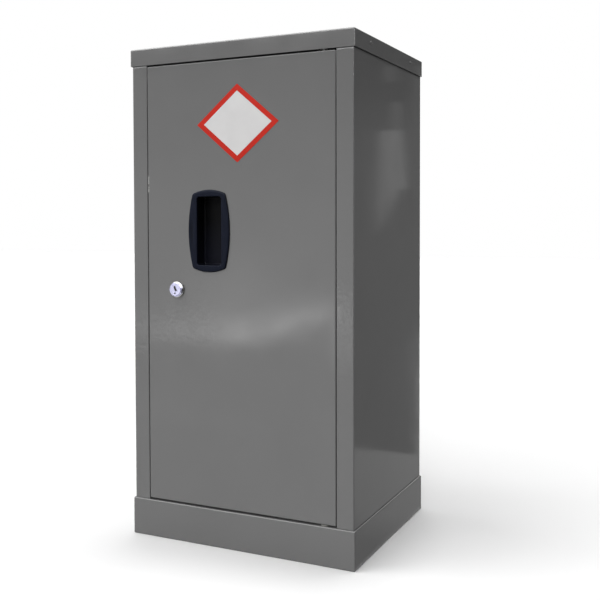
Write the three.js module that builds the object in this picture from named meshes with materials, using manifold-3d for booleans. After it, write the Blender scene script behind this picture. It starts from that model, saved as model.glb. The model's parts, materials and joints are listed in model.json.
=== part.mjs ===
// A small steel safety cabinet for hazardous materials: a folded and welded body with a cap and
// a plinth that stand proud of it, one hinged door with a flush pull and a cam lock, a spill sump
// and two shelves on clips. Millimetres, +Z up, the door faces -Y and is hinged on its +X side.
// The origin is under the middle of the whole cabinet, its lock included, on the floor.

import * as THREE from 'three';
import { mergeVertices } from 'three/addons/utils/BufferGeometryUtils.js';
import { RoundedBoxGeometry } from 'three/addons/geometries/RoundedBoxGeometry.js';
import Module from 'manifold-3d';

const wasm = await Module();
wasm.setup();

// Cabinet
const cabinetWidth = 440;
const cabinetDepth = 380;
const cabinetHeight = 900;
const capHeight = 30;
const plinthHeight = 68;
const bodyInset = 3;

// Sheet metal and fits
const sheet = 1.2;
const foldRadius = 2.2;
const seatGap = 0.2;
const runGap = 0.3;
const overrun = 5;
const weldDistance = 0.00037;

// Body
const stileWidth = 30;
const stopLegWidth = 19;
const rearFlangeWidth = 20;
const plinthSideFlange = 20;
const plinthFootFlange = 15;
const ceilingFlange = 12;
const headerStopDrop = 15;

// Door
const doorDepth = 20;
const doorSideGap = 2;
const doorTopGap = 3;
const doorBottomGap = 2.5;
const doorLip = 14;
const stiffenerWidth = 50;
const stiffenerDepth = 13;
const stiffenerFlange = 12;
const stiffenerFromRetainer = 30;
const stiffenerEndGap = 30;
const bufferRadius = 5;
const bufferThickness = 3.5;
const bufferFromEnd = 60;

// Hinges
const pivotFromDoorEdge = 23;
const pivotBehindFace = 7;
const pinRadius = 3;
const pinSpan = 36;
const pinInBush = 9;
const bushWall = 1.3;
const bushFlange = 2;
const bushLength = 7;
const upperBushFlangeThickness = 1.2;
const bracketSheet = 2;
const bracketDrop = 22;
const bracketReach = 34;
const sweepGap = 2;

// Flush pull
const handleWidth = 86;
const handleHeight = 147;
const handleSideBow = 8.7;
const handleEndBow = 7;
const handleCorner = 5;
const handleProud = 3.6;
const handleBevel = 3;
const handleFromDoorEdge = 130;
const handleBelowLabel = 46.5;
const pocketWidth = 48;
const pocketHeight = 121;
const pocketDepth = 24;
const pocketWall = 2;
const pocketCorner = 5;
const bossRadius = 4;
const bossFromPocket = 8.5;
const retainerSheet = 1.5;
const retainerMargin = 15;
const screwRadius = 1.6;
const screwLength = 5;
const screwHeadRadius = 5.4;
const screwHeadHeight = 2.2;

// Cam lock
const lockFromDoorEdge = 62;
const lockBelowHandle = 32.5;
const collarRadius = 14.5;
const collarThickness = 3.4;
const bezelRadius = 12.9;
const bezelThickness = 3.6;
const plugHeadRadius = 11.2;
const plugHeadThickness = 3.2;
const plugHeadProud = 1;
const plugRadius = 6;
const barrelRadius = 9.5;
const keywayWidth = 1.9;
const keywayHeight = 7.5;
const keywayDepth = 17;
const keywayRise = 1.2;
const keywayTilt = THREE.MathUtils.degToRad(24);
const lockNutHalfWidth = 13;
const lockNutThickness = 5;
const camThickness = 2;
const camClearance = 1.4;
const camTipClearance = 6;
const camHubRadius = 9;
const camArmWidth = 14;
const camSquare = 7;
const studRadius = 2.5;
const studLength = 6;
const camNutHalfWidth = 5;
const camNutThickness = 4;

// Shelves and sump
const sumpHeight = 45;
const sumpLip = 8;
const shelfThickness = 25;
const shelfLip = 12;
const shelfBehindSump = 8;
const shelfRearGap = 4;
const uprightWidth = 24;
const uprightDepth = 11;
const uprightFromFront = 77;
const uprightFromBack = 46;
const uprightAboveSump = 12;
const uprightBelowCeiling = 12;
const slotWidth = 12;
const slotHeight = 4;
const slotPitch = 50;
const slotEndGap = 18;
const clipReach = 18;
const clipHook = 8;
const lowerShelfAboveSump = 230;
const upperShelfAboveSump = 480;
const shelfSideGap = 0.6;

// Label place
const labelWidth = 160.6;
const labelHeight = 137;
const labelBorder = 9;
const labelSheet = 0.3;
const labelFromDoorEdge = 186;
const labelBelowDoorTop = 112;

// Cap rivets
const rivetHeadRadius = 3.4;
const rivetHeadHeight = 1;
const rivetRadius = 2;
const rivetTail = 4;
const rivetTailRadius = 2.8;
const rivetFromCapEnd = 78;
const rivetBelowTop = 14;

// Numbers of facets
const roundSides = 24;
const foldSteps = 2;
const trayCornerSteps = 1;
const curveSteps = 6;

// Places that follow from the sizes above
const bodyHalfWidth = cabinetWidth / 2 - bodyInset;
const bodyFront = bodyInset - cabinetDepth / 2;
const bodyBack = cabinetDepth / 2 - bodyInset;
const capBottom = cabinetHeight - capHeight;
const bodyBottom = plinthHeight + seatGap;
const bodyTop = cabinetHeight - sheet - seatGap;
const openingHalfWidth = bodyHalfWidth - stileWidth;
const innerHalfWidth = bodyHalfWidth - sheet - seatGap;
const innerBack = bodyBack - 2 * (sheet + seatGap);

const doorLeft = doorSideGap - openingHalfWidth;
const doorRight = openingHalfWidth - doorSideGap;
const doorBottom = plinthHeight + doorBottomGap;
const doorTop = capBottom - doorTopGap;
const doorBack = bodyFront + doorDepth;
const skinBack = bodyFront + sheet;

const pivotX = doorRight - pivotFromDoorEdge;
const pivotY = bodyFront + pivotBehindFace;
const hingeSweep = Math.hypot(pivotFromDoorEdge, doorDepth - pivotBehindFace) + sweepGap;

const stopFront = doorBack + runGap + bufferThickness + seatGap;
const stopBack = stopFront + sheet;
const headerStopLeft = stopLegWidth - openingHalfWidth + seatGap;
const headerStopRight = pivotX - hingeSweep;

const sumpFront = pivotY + hingeSweep;
const sumpTop = bodyBottom + sumpHeight;
const ceilingBottom = capBottom;

const labelX = doorLeft + labelFromDoorEdge;
const labelZ = doorTop - labelBelowDoorTop;
const handleX = doorLeft + handleFromDoorEdge;
const handleZ = labelZ - labelHeight / 2 - handleBelowLabel - handleHeight / 2;
const lockX = doorLeft + lockFromDoorEdge;
const lockZ = handleZ - handleHeight / 2 - lockBelowHandle;
const retainerWidth = pocketWidth + 2 * (pocketWall + retainerMargin);
const rivetFromMiddle = cabinetDepth / 2 - rivetFromCapEnd;
const lockFaceY = bodyFront - collarThickness - bezelThickness - plugHeadProud;
const camFront = stopBack + camClearance;
const camBack = camFront + camThickness;
const barrelBack = camFront - runGap;

// Materials
function paint(color, roughness, metalness) {
  return new THREE.MeshStandardMaterial({ color, roughness, metalness, flatShading: true });
}

const greyPaint = paint('#757575', 0.38, 0);
const blackPlastic = paint('#14151c', 0.45, 0);
const chrome = paint('#d6d6da', 0.14, 1);
const zincSteel = paint('#a9abae', 0.38, 1);
const nylon = paint('#d9d7cf', 0.55, 0);
const rubber = paint('#1b1b1b', 0.85, 0);
const redVinyl = paint('#be1e0f', 0.4, 0);
const paleVinyl = paint('#d6d6d6', 0.4, 0);

// Solids
function solidOf(geometry) {
  const bare = geometry.clone();
  bare.deleteAttribute('normal');
  bare.deleteAttribute('uv');
  const merged = mergeVertices(bare, weldDistance);
  const mesh = new wasm.Mesh({
    numProp: 3,
    vertProperties: new Float32Array(merged.attributes.position.array),
    triVerts: new Uint32Array(merged.index.array),
  });
  mesh.merge();
  return new wasm.Manifold(mesh);
}

function geometryOf(solid) {
  const { vertProperties, triVerts } = solid.getMesh();
  const geometry = new THREE.BufferGeometry();
  geometry.setAttribute('position', new THREE.BufferAttribute(vertProperties, 3));
  geometry.setIndex(new THREE.BufferAttribute(triVerts, 1));
  geometry.computeVertexNormals();
  return geometry;
}

function join(first, ...rest) {
  return rest.reduce((whole, piece) => whole.add(piece), first);
}

function cut(first, ...tools) {
  return tools.reduce((whole, tool) => whole.subtract(tool), first);
}

function block([x0, x1], [y0, y1], [z0, z1]) {
  const geometry = new THREE.BoxGeometry(x1 - x0, y1 - y0, z1 - z0);
  geometry.translate((x0 + x1) / 2, (y0 + y1) / 2, (z0 + z1) / 2);
  return solidOf(geometry);
}

// An outline drawn in X and Y, carried up from one height to another.
function extrudeUp(outline, [z0, z1]) {
  const geometry = new THREE.ExtrudeGeometry(outline, {
    depth: z1 - z0, bevelEnabled: false, curveSegments: curveSteps,
  });
  geometry.translate(0, 0, z0);
  return solidOf(geometry);
}

// An outline drawn in Y and Z, carried across from one X to another.
function extrudeAcross(outline, [x0, x1]) {
  const geometry = new THREE.ExtrudeGeometry(outline, {
    depth: x1 - x0, bevelEnabled: false, curveSegments: curveSteps,
  });
  const turn = new THREE.Matrix4().makeBasis(
    new THREE.Vector3(0, 1, 0), new THREE.Vector3(0, 0, 1), new THREE.Vector3(1, 0, 0));
  geometry.applyMatrix4(turn);
  geometry.translate(x0, 0, 0);
  return solidOf(geometry);
}

// An outline drawn in X and Z, carried towards the front from one Y to another.
function extrudeForward(outline, [yFront, yBack], bevel = 0) {
  const geometry = new THREE.ExtrudeGeometry(outline, {
    depth: yBack - yFront - bevel, curveSegments: curveSteps, bevelEnabled: bevel > 0,
    bevelThickness: bevel, bevelSize: bevel, bevelOffset: -bevel, bevelSegments: foldSteps,
  });
  const turn = new THREE.Matrix4().makeBasis(
    new THREE.Vector3(1, 0, 0), new THREE.Vector3(0, 0, 1), new THREE.Vector3(0, -1, 0));
  geometry.applyMatrix4(turn);
  geometry.translate(0, yBack, 0);
  return solidOf(geometry);
}

// A turned piece about an axis along X, Y or Z: its profile lists [radius, place along the axis].
function turned(profile, axis, sides = roundSides) {
  const points = profile.map(([radius, along]) => new THREE.Vector2(radius, along));
  if (THREE.ShapeUtils.area(points) < 0) points.reverse();
  const geometry = new THREE.LatheGeometry(points, sides);
  if (axis === 'x') geometry.rotateZ(-Math.PI / 2);
  if (axis === 'z') geometry.rotateX(Math.PI / 2);
  return solidOf(geometry);
}

function rod(radius, [from, to], axis) {
  return turned([[0, from], [radius, from], [radius, to], [0, to]], axis);
}

// The closed outline of a folded sheet that runs along a path, with its thickness on the path's
// left and every fold rounded.
function foldedOutline(path, thickness = sheet, radius = foldRadius) {
  const corners = path.map(([a, b]) => new THREE.Vector2(a, b));
  const normals = corners.slice(1).map((corner, i) => {
    const along = corner.clone().sub(corners[i]).normalize();
    return new THREE.Vector2(-along.y, along.x);
  });
  const sideAt = (offset) => {
    const points = [corners[0].clone().addScaledVector(normals[0], offset)];
    for (let i = 1; i < corners.length - 1; i += 1) {
      const before = normals[i - 1];
      const after = normals[i];
      const turn = Math.sign(before.cross(after));
      const pathRadius = turn > 0 ? radius : radius - thickness;
      const middle = before.clone().add(after).normalize();
      const reach = pathRadius / middle.dot(before);
      const centre = corners[i].clone().addScaledVector(middle, turn * reach);
      for (let step = 0; step <= foldSteps; step += 1) {
        const spoke = before.clone().lerp(after, step / foldSteps).normalize();
        points.push(centre.clone().addScaledVector(spoke, offset - turn * pathRadius));
      }
    }
    const end = corners[corners.length - 1];
    points.push(end.clone().addScaledVector(normals[normals.length - 1], offset));
    return points;
  };
  return new THREE.Shape([...sideAt(0), ...sideAt(thickness).reverse()]);
}

function mirrored(path) {
  return path.map(([x, y]) => [-x, y]).reverse();
}

// A folded tray that lies on its open side at z = 0: a face at the top, four walls and, if lip is
// above zero, a lip turned inwards round the open side.
function foldedTray(width, depth, height, lip, radius = foldRadius) {
  const tall = lip > 0 ? height : height + overrun + radius;
  const shell = new RoundedBoxGeometry(width, depth, tall, trayCornerSteps, radius);
  shell.translate(0, 0, height - tall / 2);
  const hollowWidth = width - 2 * sheet;
  const hollowDepth = depth - 2 * sheet;
  const hollowHeight = lip > 0 ? height - 2 * sheet : tall;
  const hollow = new RoundedBoxGeometry(
    hollowWidth, hollowDepth, hollowHeight, trayCornerSteps, radius - sheet);
  hollow.translate(0, 0, height - sheet - hollowHeight / 2);
  const tray = cut(solidOf(shell), solidOf(hollow));
  const mouthX = hollowWidth / 2 - lip;
  const mouthY = hollowDepth / 2 - lip;
  const mouth = block([-mouthX, mouthX], [-mouthY, mouthY], [-overrun, height / 2]);
  const below = block([-width, width], [-depth, depth], [-tall, 0]);
  return lip > 0 ? cut(tray, mouth) : cut(tray, below);
}

function moved(solid, x, y, z) {
  return solid.translate([x, y, z]);
}

function rectangleOutline(centreX, centreY, width, height, corner) {
  const outline = new THREE.Shape();
  const x = width / 2;
  const y = height / 2;
  outline.absarc(centreX + x - corner, centreY + y - corner, corner, 0, Math.PI / 2);
  outline.absarc(centreX - x + corner, centreY + y - corner, corner, Math.PI / 2, Math.PI);
  outline.absarc(centreX - x + corner, centreY - y + corner, corner, Math.PI, Math.PI * 3 / 2);
  outline.absarc(centreX + x - corner, centreY - y + corner, corner, Math.PI * 3 / 2, Math.PI * 2);
  return outline;
}

function hexagonOutline(centreX, centreY, halfWidth) {
  const radius = halfWidth / Math.cos(Math.PI / 6);
  const points = Array.from({ length: 6 }, (_, i) => new THREE.Vector2(
    centreX + radius * Math.cos(i * Math.PI / 3), centreY + radius * Math.sin(i * Math.PI / 3)));
  return new THREE.Shape(points);
}

// Body
function topCap() {
  const tray = foldedTray(cabinetWidth, cabinetDepth, capHeight, bodyInset - sheet - seatGap);
  const holes = [-rivetFromMiddle, rivetFromMiddle].map((y) => moved(
    rod(rivetRadius + runGap, [-cabinetWidth, cabinetWidth], 'x'), 0, y, capHeight - rivetBelowTop));
  return moved(cut(tray, ...holes), 0, 0, capBottom);
}

function plinth() {
  const frame = foldedTray(cabinetWidth, cabinetDepth, plinthHeight, plinthFootFlange);
  const sideEdge = cabinetWidth / 2 - plinthSideFlange;
  const backEdge = cabinetDepth / 2 - plinthSideFlange;
  const window = block([-sideEdge, sideEdge], [sumpFront + sheet + foldRadius, backEdge],
    [plinthHeight / 2, plinthHeight + overrun]);
  const bushHole = moved(rod(pinRadius + bushWall + 2 * runGap,
    [plinthHeight / 2, plinthHeight + overrun], 'z'), pivotX, pivotY, 0);
  return cut(frame, window, bushHole);
}

// The path of a side panel seen from above, for the hinge side: door jamb, front stile, side and
// rear flange.
function sidePath() {
  return [
    [openingHalfWidth, stopFront],
    [openingHalfWidth, bodyFront],
    [bodyHalfWidth, bodyFront],
    [bodyHalfWidth, bodyBack - sheet - seatGap],
    [bodyHalfWidth - rearFlangeWidth, bodyBack - sheet - seatGap],
  ];
}

function rivetHoles() {
  return [-rivetFromMiddle, rivetFromMiddle].map((y) => moved(
    rod(rivetRadius + runGap, [-cabinetWidth, cabinetWidth], 'x'), 0, y,
    cabinetHeight - rivetBelowTop));
}

function rightSidePanel() {
  const panel = extrudeUp(foldedOutline(sidePath()), [bodyBottom, bodyTop]);
  return cut(panel, ...rivetHoles());
}

function leftSidePanel() {
  const stopLeg = [openingHalfWidth - stopLegWidth, stopFront];
  const outline = foldedOutline(mirrored([stopLeg, ...sidePath()]));
  return cut(extrudeUp(outline, [bodyBottom, bodyTop]), ...rivetHoles());
}

function backPanel() {
  return block([-bodyHalfWidth, bodyHalfWidth], [bodyBack - sheet, bodyBack], [bodyBottom, bodyTop]);
}

function headerRail() {
  const path = [
    [bodyFront, bodyTop],
    [bodyFront, capBottom],
    [stopFront, capBottom],
    [stopFront, capBottom - headerStopDrop],
  ];
  const end = openingHalfWidth - seatGap;
  const rail = extrudeAcross(foldedOutline(path), [-end, end]);
  const lipSpace = [stopFront - foldRadius, stopBack + overrun];
  const lipHeight = [capBottom - headerStopDrop - overrun, capBottom];
  const bushHole = moved(rod(pinRadius + bushWall + 2 * runGap,
    [capBottom - overrun, bodyTop], 'z'), pivotX, pivotY, 0);
  return cut(rail,
    block([-end - overrun, headerStopLeft], lipSpace, [lipHeight[0], bodyTop]),
    block([headerStopRight, end + overrun], lipSpace, lipHeight),
    bushHole);
}

function ceilingPanel() {
  const front = stopBack + seatGap;
  const tray = foldedTray(2 * innerHalfWidth, innerBack - front, ceilingFlange, 0);
  const upright = tray.rotate([180, 0, 0]);
  return moved(upright, 0, (front + innerBack) / 2, ceilingBottom + ceilingFlange);
}

function sumpTray() {
  const tray = foldedTray(2 * innerHalfWidth, innerBack - sumpFront, sumpHeight, sumpLip);
  const upright = tray.rotate([180, 0, 0]);
  return moved(upright, 0, (sumpFront + innerBack) / 2, sumpTop);
}

// A rivet through the cap and a side panel, its head on the side that faces out.
function capRivet(side, y) {
  const head = cabinetWidth / 2 + seatGap;
  const tail = bodyHalfWidth - sheet - seatGap;
  const profile = [
    [0, tail - rivetTail],
    [rivetTailRadius, tail - rivetTail],
    [rivetTailRadius, tail],
    [rivetRadius, tail],
    [rivetRadius, head],
    [rivetHeadRadius, head],
    [rivetHeadRadius * Math.SQRT1_2, head + rivetHeadHeight * Math.SQRT1_2],
    [0, head + rivetHeadHeight],
  ];
  const rivet = turned(profile, 'x', roundSides / 2);
  const turnedOut = side > 0 ? rivet : rivet.rotate([0, 0, 180]);
  return moved(turnedOut, 0, y, cabinetHeight - rivetBelowTop);
}

function doorBuffer(z) {
  const front = stopFront - seatGap - bufferThickness;
  const puck = rod(bufferRadius, [front, stopFront - seatGap], 'y');
  return moved(puck, doorLeft + stopLegWidth / 2, 0, z);
}

// Hinges
function hingeBush(flange, body) {
  const bore = pinRadius + runGap;
  const outer = bore + bushWall;
  return moved(turned([
    [bore, flange[0]],
    [outer + bushFlange, flange[0]],
    [outer + bushFlange, flange[1]],
    [outer, flange[1]],
    [outer, body],
    [bore, body],
    [bore, flange[0]],
  ], 'z'), pivotX, pivotY, 0);
}

function upperHingeBush() {
  const seat = capBottom - seatGap;
  return hingeBush([seat - upperBushFlangeThickness, seat], capBottom + bushLength);
}

function lowerHingeBush() {
  return hingeBush([doorBottom - runGap, bodyBottom], plinthHeight - bushLength);
}

function upperHingePin() {
  const span = [doorTop - pinSpan + pinInBush, doorTop + doorTopGap + pinInBush];
  return moved(rod(pinRadius, span, 'z'), pivotX, pivotY, 0);
}

function lowerHingePin() {
  const span = [doorBottom - doorBottomGap - pinInBush, doorBottom + pinSpan - pinInBush];
  return moved(rod(pinRadius, span, 'z'), pivotX, pivotY, 0);
}

// An angle bracket inside the door's hinge edge: its leg carries the pin's inner end. It points
// up or down from the leg, towards the near end of the door.
function hingeBracket(legZ, towardsEnd) {
  const edge = doorRight - sheet - seatGap;
  const path = [
    [edge - bracketReach, 0],
    [edge, 0],
    [edge, bracketDrop - 2 * bracketSheet],
  ];
  const outline = foldedOutline(path, bracketSheet, foldRadius + bracketSheet);
  const angle = extrudeForward(outline, [skinBack + foldRadius, doorBack - sheet - foldRadius]);
  const facing = towardsEnd > 0 ? angle : angle.mirror([0, 0, 1]);
  const hole = moved(rod(pinRadius + runGap, [-bracketDrop, bracketDrop], 'z'), pivotX, pivotY, 0);
  return moved(cut(facing, hole), 0, 0, legZ);
}

// Door
function handleOutline() {
  const x = handleWidth / 2 - handleSideBow;
  const z = handleHeight / 2 - handleEndBow;
  const c = handleCorner;
  const outline = new THREE.Shape();
  outline.moveTo(handleX - x + c, handleZ - z);
  outline.quadraticCurveTo(handleX, handleZ - z - 2 * handleEndBow, handleX + x - c, handleZ - z);
  outline.quadraticCurveTo(handleX + x, handleZ - z, handleX + x, handleZ - z + c);
  outline.quadraticCurveTo(handleX + x + 2 * handleSideBow, handleZ, handleX + x, handleZ + z - c);
  outline.quadraticCurveTo(handleX + x, handleZ + z, handleX + x - c, handleZ + z);
  outline.quadraticCurveTo(handleX, handleZ + z + 2 * handleEndBow, handleX - x + c, handleZ + z);
  outline.quadraticCurveTo(handleX - x, handleZ + z, handleX - x, handleZ + z - c);
  outline.quadraticCurveTo(handleX - x - 2 * handleSideBow, handleZ, handleX - x, handleZ - z + c);
  outline.quadraticCurveTo(handleX - x, handleZ - z, handleX - x + c, handleZ - z);
  return outline;
}

function pocketOutline(growth) {
  return rectangleOutline(handleX, handleZ, pocketWidth + 2 * growth, pocketHeight + 2 * growth,
    pocketCorner + growth);
}

function bossPlaces() {
  const reach = pocketWidth / 2 + pocketWall + bossFromPocket;
  return [handleX - reach, handleX + reach];
}

function doorSkin() {
  const tray = foldedTray(doorRight - doorLeft, doorTop - doorBottom, doorDepth, doorLip);
  const standing = moved(tray.rotate([90, 0, 0]), (doorLeft + doorRight) / 2, doorBack,
    (doorBottom + doorTop) / 2);
  const throughSkin = [bodyFront - overrun, doorBack - 2 * sheet];
  const pocketHole = extrudeForward(pocketOutline(pocketWall + runGap), throughSkin);
  const bossHoles = bossPlaces().map((x) => moved(
    rod(bossRadius + runGap, throughSkin, 'y'), x, 0, handleZ));
  const lockHole = moved(rod(barrelRadius + runGap, throughSkin, 'y'), lockX, 0, lockZ);
  const pinHole = moved(rod(pinRadius + runGap, [doorBottom - overrun, doorTop + overrun], 'z'),
    pivotX, pivotY, 0);
  return cut(standing, pocketHole, ...bossHoles, lockHole, pinHole);
}

function doorStiffener() {
  const edge = handleX + retainerWidth / 2 + stiffenerFromRetainer;
  const middle = edge + stiffenerFlange + stiffenerWidth / 2;
  const seat = skinBack + seatGap;
  const crown = seat + stiffenerDepth;
  const half = stiffenerWidth / 2;
  const path = [
    [middle - half - stiffenerFlange, seat],
    [middle - half, seat],
    [middle - half, crown],
    [middle + half, crown],
    [middle + half, seat],
    [middle + half + stiffenerFlange, seat],
  ];
  return extrudeUp(foldedOutline(path), [doorBottom + stiffenerEndGap, doorTop - stiffenerEndGap]);
}

function handlePull() {
  const rimBack = bodyFront - seatGap;
  const rimFront = bodyFront - handleProud;
  const rim = extrudeForward(handleOutline(), [rimFront, rimBack + overrun], handleBevel);
  const behindRim = block([handleX - handleWidth, handleX + handleWidth],
    [rimBack, rimBack + 2 * overrun], [handleZ - handleHeight, handleZ + handleHeight]);
  const pocketBack = bodyFront + pocketDepth;
  const box = extrudeForward(pocketOutline(pocketWall), [rimFront + handleBevel / 2,
    pocketBack + pocketWall]);
  const bossBack = skinBack + seatGap + retainerSheet - runGap;
  const bosses = bossPlaces().map((x) => moved(rod(bossRadius, [rimBack, bossBack], 'y'),
    x, 0, handleZ));
  const screwBores = bossPlaces().map((x) => moved(
    rod(screwRadius + runGap, [bossBack - screwLength + runGap, bossBack + overrun], 'y'),
    x, 0, handleZ));
  const pocket = extrudeForward(pocketOutline(0), [rimFront - overrun, pocketBack]);
  return cut(join(cut(rim, behindRim), box, ...bosses), pocket, ...screwBores);
}

function handleRetainer() {
  const seat = skinBack + seatGap;
  const retainerHeight = pocketHeight + 2 * pocketWall + retainerMargin;
  const plate = rectangleOutline(handleX, handleZ, retainerWidth, retainerHeight, pocketCorner);
  const solid = extrudeForward(plate, [seat, seat + retainerSheet]);
  const through = [seat - overrun, seat + overrun];
  const pocketHole = extrudeForward(pocketOutline(pocketWall + 2 * runGap), through);
  const bossHoles = bossPlaces().map((x) => moved(
    rod(bossRadius + runGap, through, 'y'), x, 0, handleZ));
  return cut(solid, pocketHole, ...bossHoles);
}

function handleScrew(x) {
  const seat = skinBack + seatGap + retainerSheet + seatGap;
  const head = seat + screwHeadHeight;
  return moved(turned([
    [0, seat - screwLength],
    [screwRadius, seat - screwLength],
    [screwRadius, seat],
    [screwHeadRadius, seat],
    [screwHeadRadius * Math.SQRT1_2, head],
    [0, head],
  ], 'y', roundSides / 2), x, 0, handleZ);
}

function diamondOutline(width, height) {
  return new THREE.Shape([
    new THREE.Vector2(labelX - width / 2, labelZ),
    new THREE.Vector2(labelX, labelZ - height / 2),
    new THREE.Vector2(labelX + width / 2, labelZ),
    new THREE.Vector2(labelX, labelZ + height / 2),
  ]);
}

// The border is the same width all round, measured square to the diamond's sides.
function innerDiamond(gap) {
  const slope = Math.hypot(labelWidth, labelHeight);
  const narrower = 2 * (labelBorder + gap) * slope / labelHeight;
  const lower = 2 * (labelBorder + gap) * slope / labelWidth;
  return diamondOutline(labelWidth - narrower, labelHeight - lower);
}

function labelBorderSheet() {
  const seat = bodyFront - seatGap;
  const whole = extrudeForward(diamondOutline(labelWidth, labelHeight), [seat - labelSheet, seat]);
  return cut(whole, extrudeForward(innerDiamond(0), [seat - overrun, seat + overrun]));
}

function labelFieldSheet() {
  const seat = bodyFront - seatGap;
  return extrudeForward(innerDiamond(labelSheet), [seat - labelSheet, seat]);
}

// Lock
function lockBarrel() {
  const seat = bodyFront - seatGap;
  const front = lockFaceY + plugHeadProud;
  const recess = lockFaceY + plugHeadThickness + runGap;
  return moved(turned([
    [plugRadius + runGap, barrelBack],
    [barrelRadius, barrelBack],
    [barrelRadius, seat],
    [collarRadius, seat],
    [collarRadius, bodyFront - collarThickness],
    [bezelRadius, front],
    [plugHeadRadius + runGap, front],
    [plugHeadRadius + runGap, recess],
    [plugRadius + runGap, recess],
    [plugRadius + runGap, barrelBack],
  ], 'y'), lockX, 0, lockZ);
}

function lockNut() {
  const seat = skinBack + seatGap;
  const nut = extrudeForward(hexagonOutline(lockX, lockZ, lockNutHalfWidth),
    [seat, seat + lockNutThickness]);
  const hole = rod(barrelRadius + runGap, [seat - overrun, seat + lockNutThickness + overrun], 'y');
  return cut(nut, moved(hole, lockX, 0, lockZ));
}

function lockPlug() {
  const shoulder = lockFaceY + plugHeadThickness;
  const body = moved(turned([
    [0, lockFaceY],
    [plugHeadRadius, lockFaceY],
    [plugHeadRadius, shoulder],
    [plugRadius, shoulder],
    [plugRadius, barrelBack],
    [0, barrelBack],
  ], 'y'), lockX, 0, lockZ);
  const half = camSquare / 2;
  const square = block([lockX - half, lockX + half], [barrelBack, camBack],
    [lockZ - half, lockZ + half]);
  const stud = moved(rod(studRadius, [barrelBack, camBack + studLength], 'y'), lockX, 0, lockZ);
  const slit = block([-keywayWidth / 2, keywayWidth / 2], [lockFaceY - overrun,
    lockFaceY + keywayDepth], [-keywayHeight / 2, keywayHeight / 2]);
  const keyway = moved(slit.rotate([0, THREE.MathUtils.radToDeg(keywayTilt), 0]),
    lockX, 0, lockZ + keywayRise);
  return cut(join(body, square, stud), keyway);
}

// The cam hangs down when the lock is open. It turns towards the edge of the door, behind the
// stop leg of the body.
function lockCam() {
  const tip = lockX - camTipClearance + openingHalfWidth;
  const half = camArmWidth / 2;
  const outline = new THREE.Shape();
  const start = -Math.asin(half / camHubRadius);
  outline.absarc(lockX, lockZ, camHubRadius, start - Math.PI / 2 + 2 * Math.abs(start),
    start + Math.PI * 3 / 2);
  outline.lineTo(lockX - half, lockZ - tip + half / 2);
  outline.lineTo(lockX - half / 2, lockZ - tip);
  outline.lineTo(lockX + half / 2, lockZ - tip);
  outline.lineTo(lockX + half, lockZ - tip + half / 2);
  const arm = extrudeForward(outline, [camFront, camBack]);
  const hole = camSquare / 2 + runGap;
  return cut(arm, block([lockX - hole, lockX + hole], [camFront - overrun, camBack + overrun],
    [lockZ - hole, lockZ + hole]));
}

function camNut() {
  const seat = camBack + seatGap;
  const nut = extrudeForward(hexagonOutline(lockX, lockZ, camNutHalfWidth),
    [seat, seat + camNutThickness]);
  const hole = rod(studRadius + runGap, [seat - overrun, seat + 2 * overrun], 'y');
  return cut(nut, moved(hole, lockX, 0, lockZ));
}

// Shelves
const uprightFace = innerHalfWidth - uprightDepth;
const uprightBottom = sumpTop + uprightAboveSump;
const uprightTop = ceilingBottom - uprightBelowCeiling;
const uprightPlaces = [
  ['front', bodyFront + uprightFromFront],
  ['rear', bodyBack - uprightFromBack],
];

function slotBottoms() {
  const first = uprightBottom + slotEndGap;
  const count = Math.floor((uprightTop - slotEndGap - slotHeight - first) / slotPitch) + 1;
  return Array.from({ length: count }, (_, i) => first + i * slotPitch);
}

// The bottom of the slot that is nearest to a wanted height above the sump.
function slotNear(aboveSump) {
  const places = slotBottoms();
  return places[Math.round((sumpTop + aboveSump - places[0]) / slotPitch)];
}

function shelfUpright(side, y) {
  const half = uprightWidth / 2;
  const path = [
    [innerHalfWidth, y + half],
    [uprightFace, y + half],
    [uprightFace, y - half],
    [innerHalfWidth, y - half],
  ];
  const outline = foldedOutline(side > 0 ? path : mirrored(path));
  const channel = extrudeUp(outline, [uprightBottom, uprightTop]);
  const slots = slotBottoms().map((z) => block([-cabinetWidth, cabinetWidth],
    [y - slotWidth / 2, y + slotWidth / 2], [z, z + slotHeight]));
  const reach = [Math.min(0, side * cabinetWidth), Math.max(0, side * cabinetWidth)];
  const ownSide = block(reach, [y - uprightWidth, y + uprightWidth], [0, cabinetHeight]);
  return cut(channel, ...slots.map((slot) => slot.intersect(ownSide)));
}

// A clip hooked through a slot: its hook stands behind the upright's face and its ledge reaches
// under the shelf.
function shelfClip(side, y, aboveSump) {
  const bottom = slotNear(aboveSump) + seatGap;
  const hookX = uprightFace + sheet + runGap + sheet;
  const path = [
    [uprightFace - clipReach, bottom],
    [hookX, bottom],
    [hookX, bottom + clipHook],
  ];
  const outline = foldedOutline(side > 0 ? path : mirrored(path), sheet, sheet + runGap);
  const half = slotWidth / 2 - runGap;
  return extrudeForward(outline, [y - half, y + half]);
}

function shelf(aboveSump) {
  const width = 2 * (uprightFace - shelfSideGap);
  const front = sumpFront + shelfBehindSump;
  const back = innerBack - shelfRearGap;
  const tray = foldedTray(width, back - front, shelfThickness, shelfLip);
  const bottom = slotNear(aboveSump) + seatGap + sheet + seatGap;
  return moved(tray, 0, (front + back) / 2, bottom);
}

// Assembly
const cabinet = new THREE.Group();
cabinet.name = 'safety_cabinet';
cabinet.position.y = (-lockFaceY - cabinetDepth / 2) / 2;

function addPart(parent, name, solid, material) {
  const mesh = new THREE.Mesh(geometryOf(solid), material);
  mesh.name = name;
  const anchor = parent.userData.anchor;
  if (anchor) mesh.position.copy(anchor).negate();
  parent.add(mesh);
}

// A group whose own origin lies on the axis that its parts turn about.
function movingGroup(parent, anchor) {
  const group = new THREE.Group();
  group.userData.anchor = anchor;
  group.position.copy(anchor).sub(parent.userData.anchor ?? new THREE.Vector3());
  parent.add(group);
  return group;
}

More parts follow.
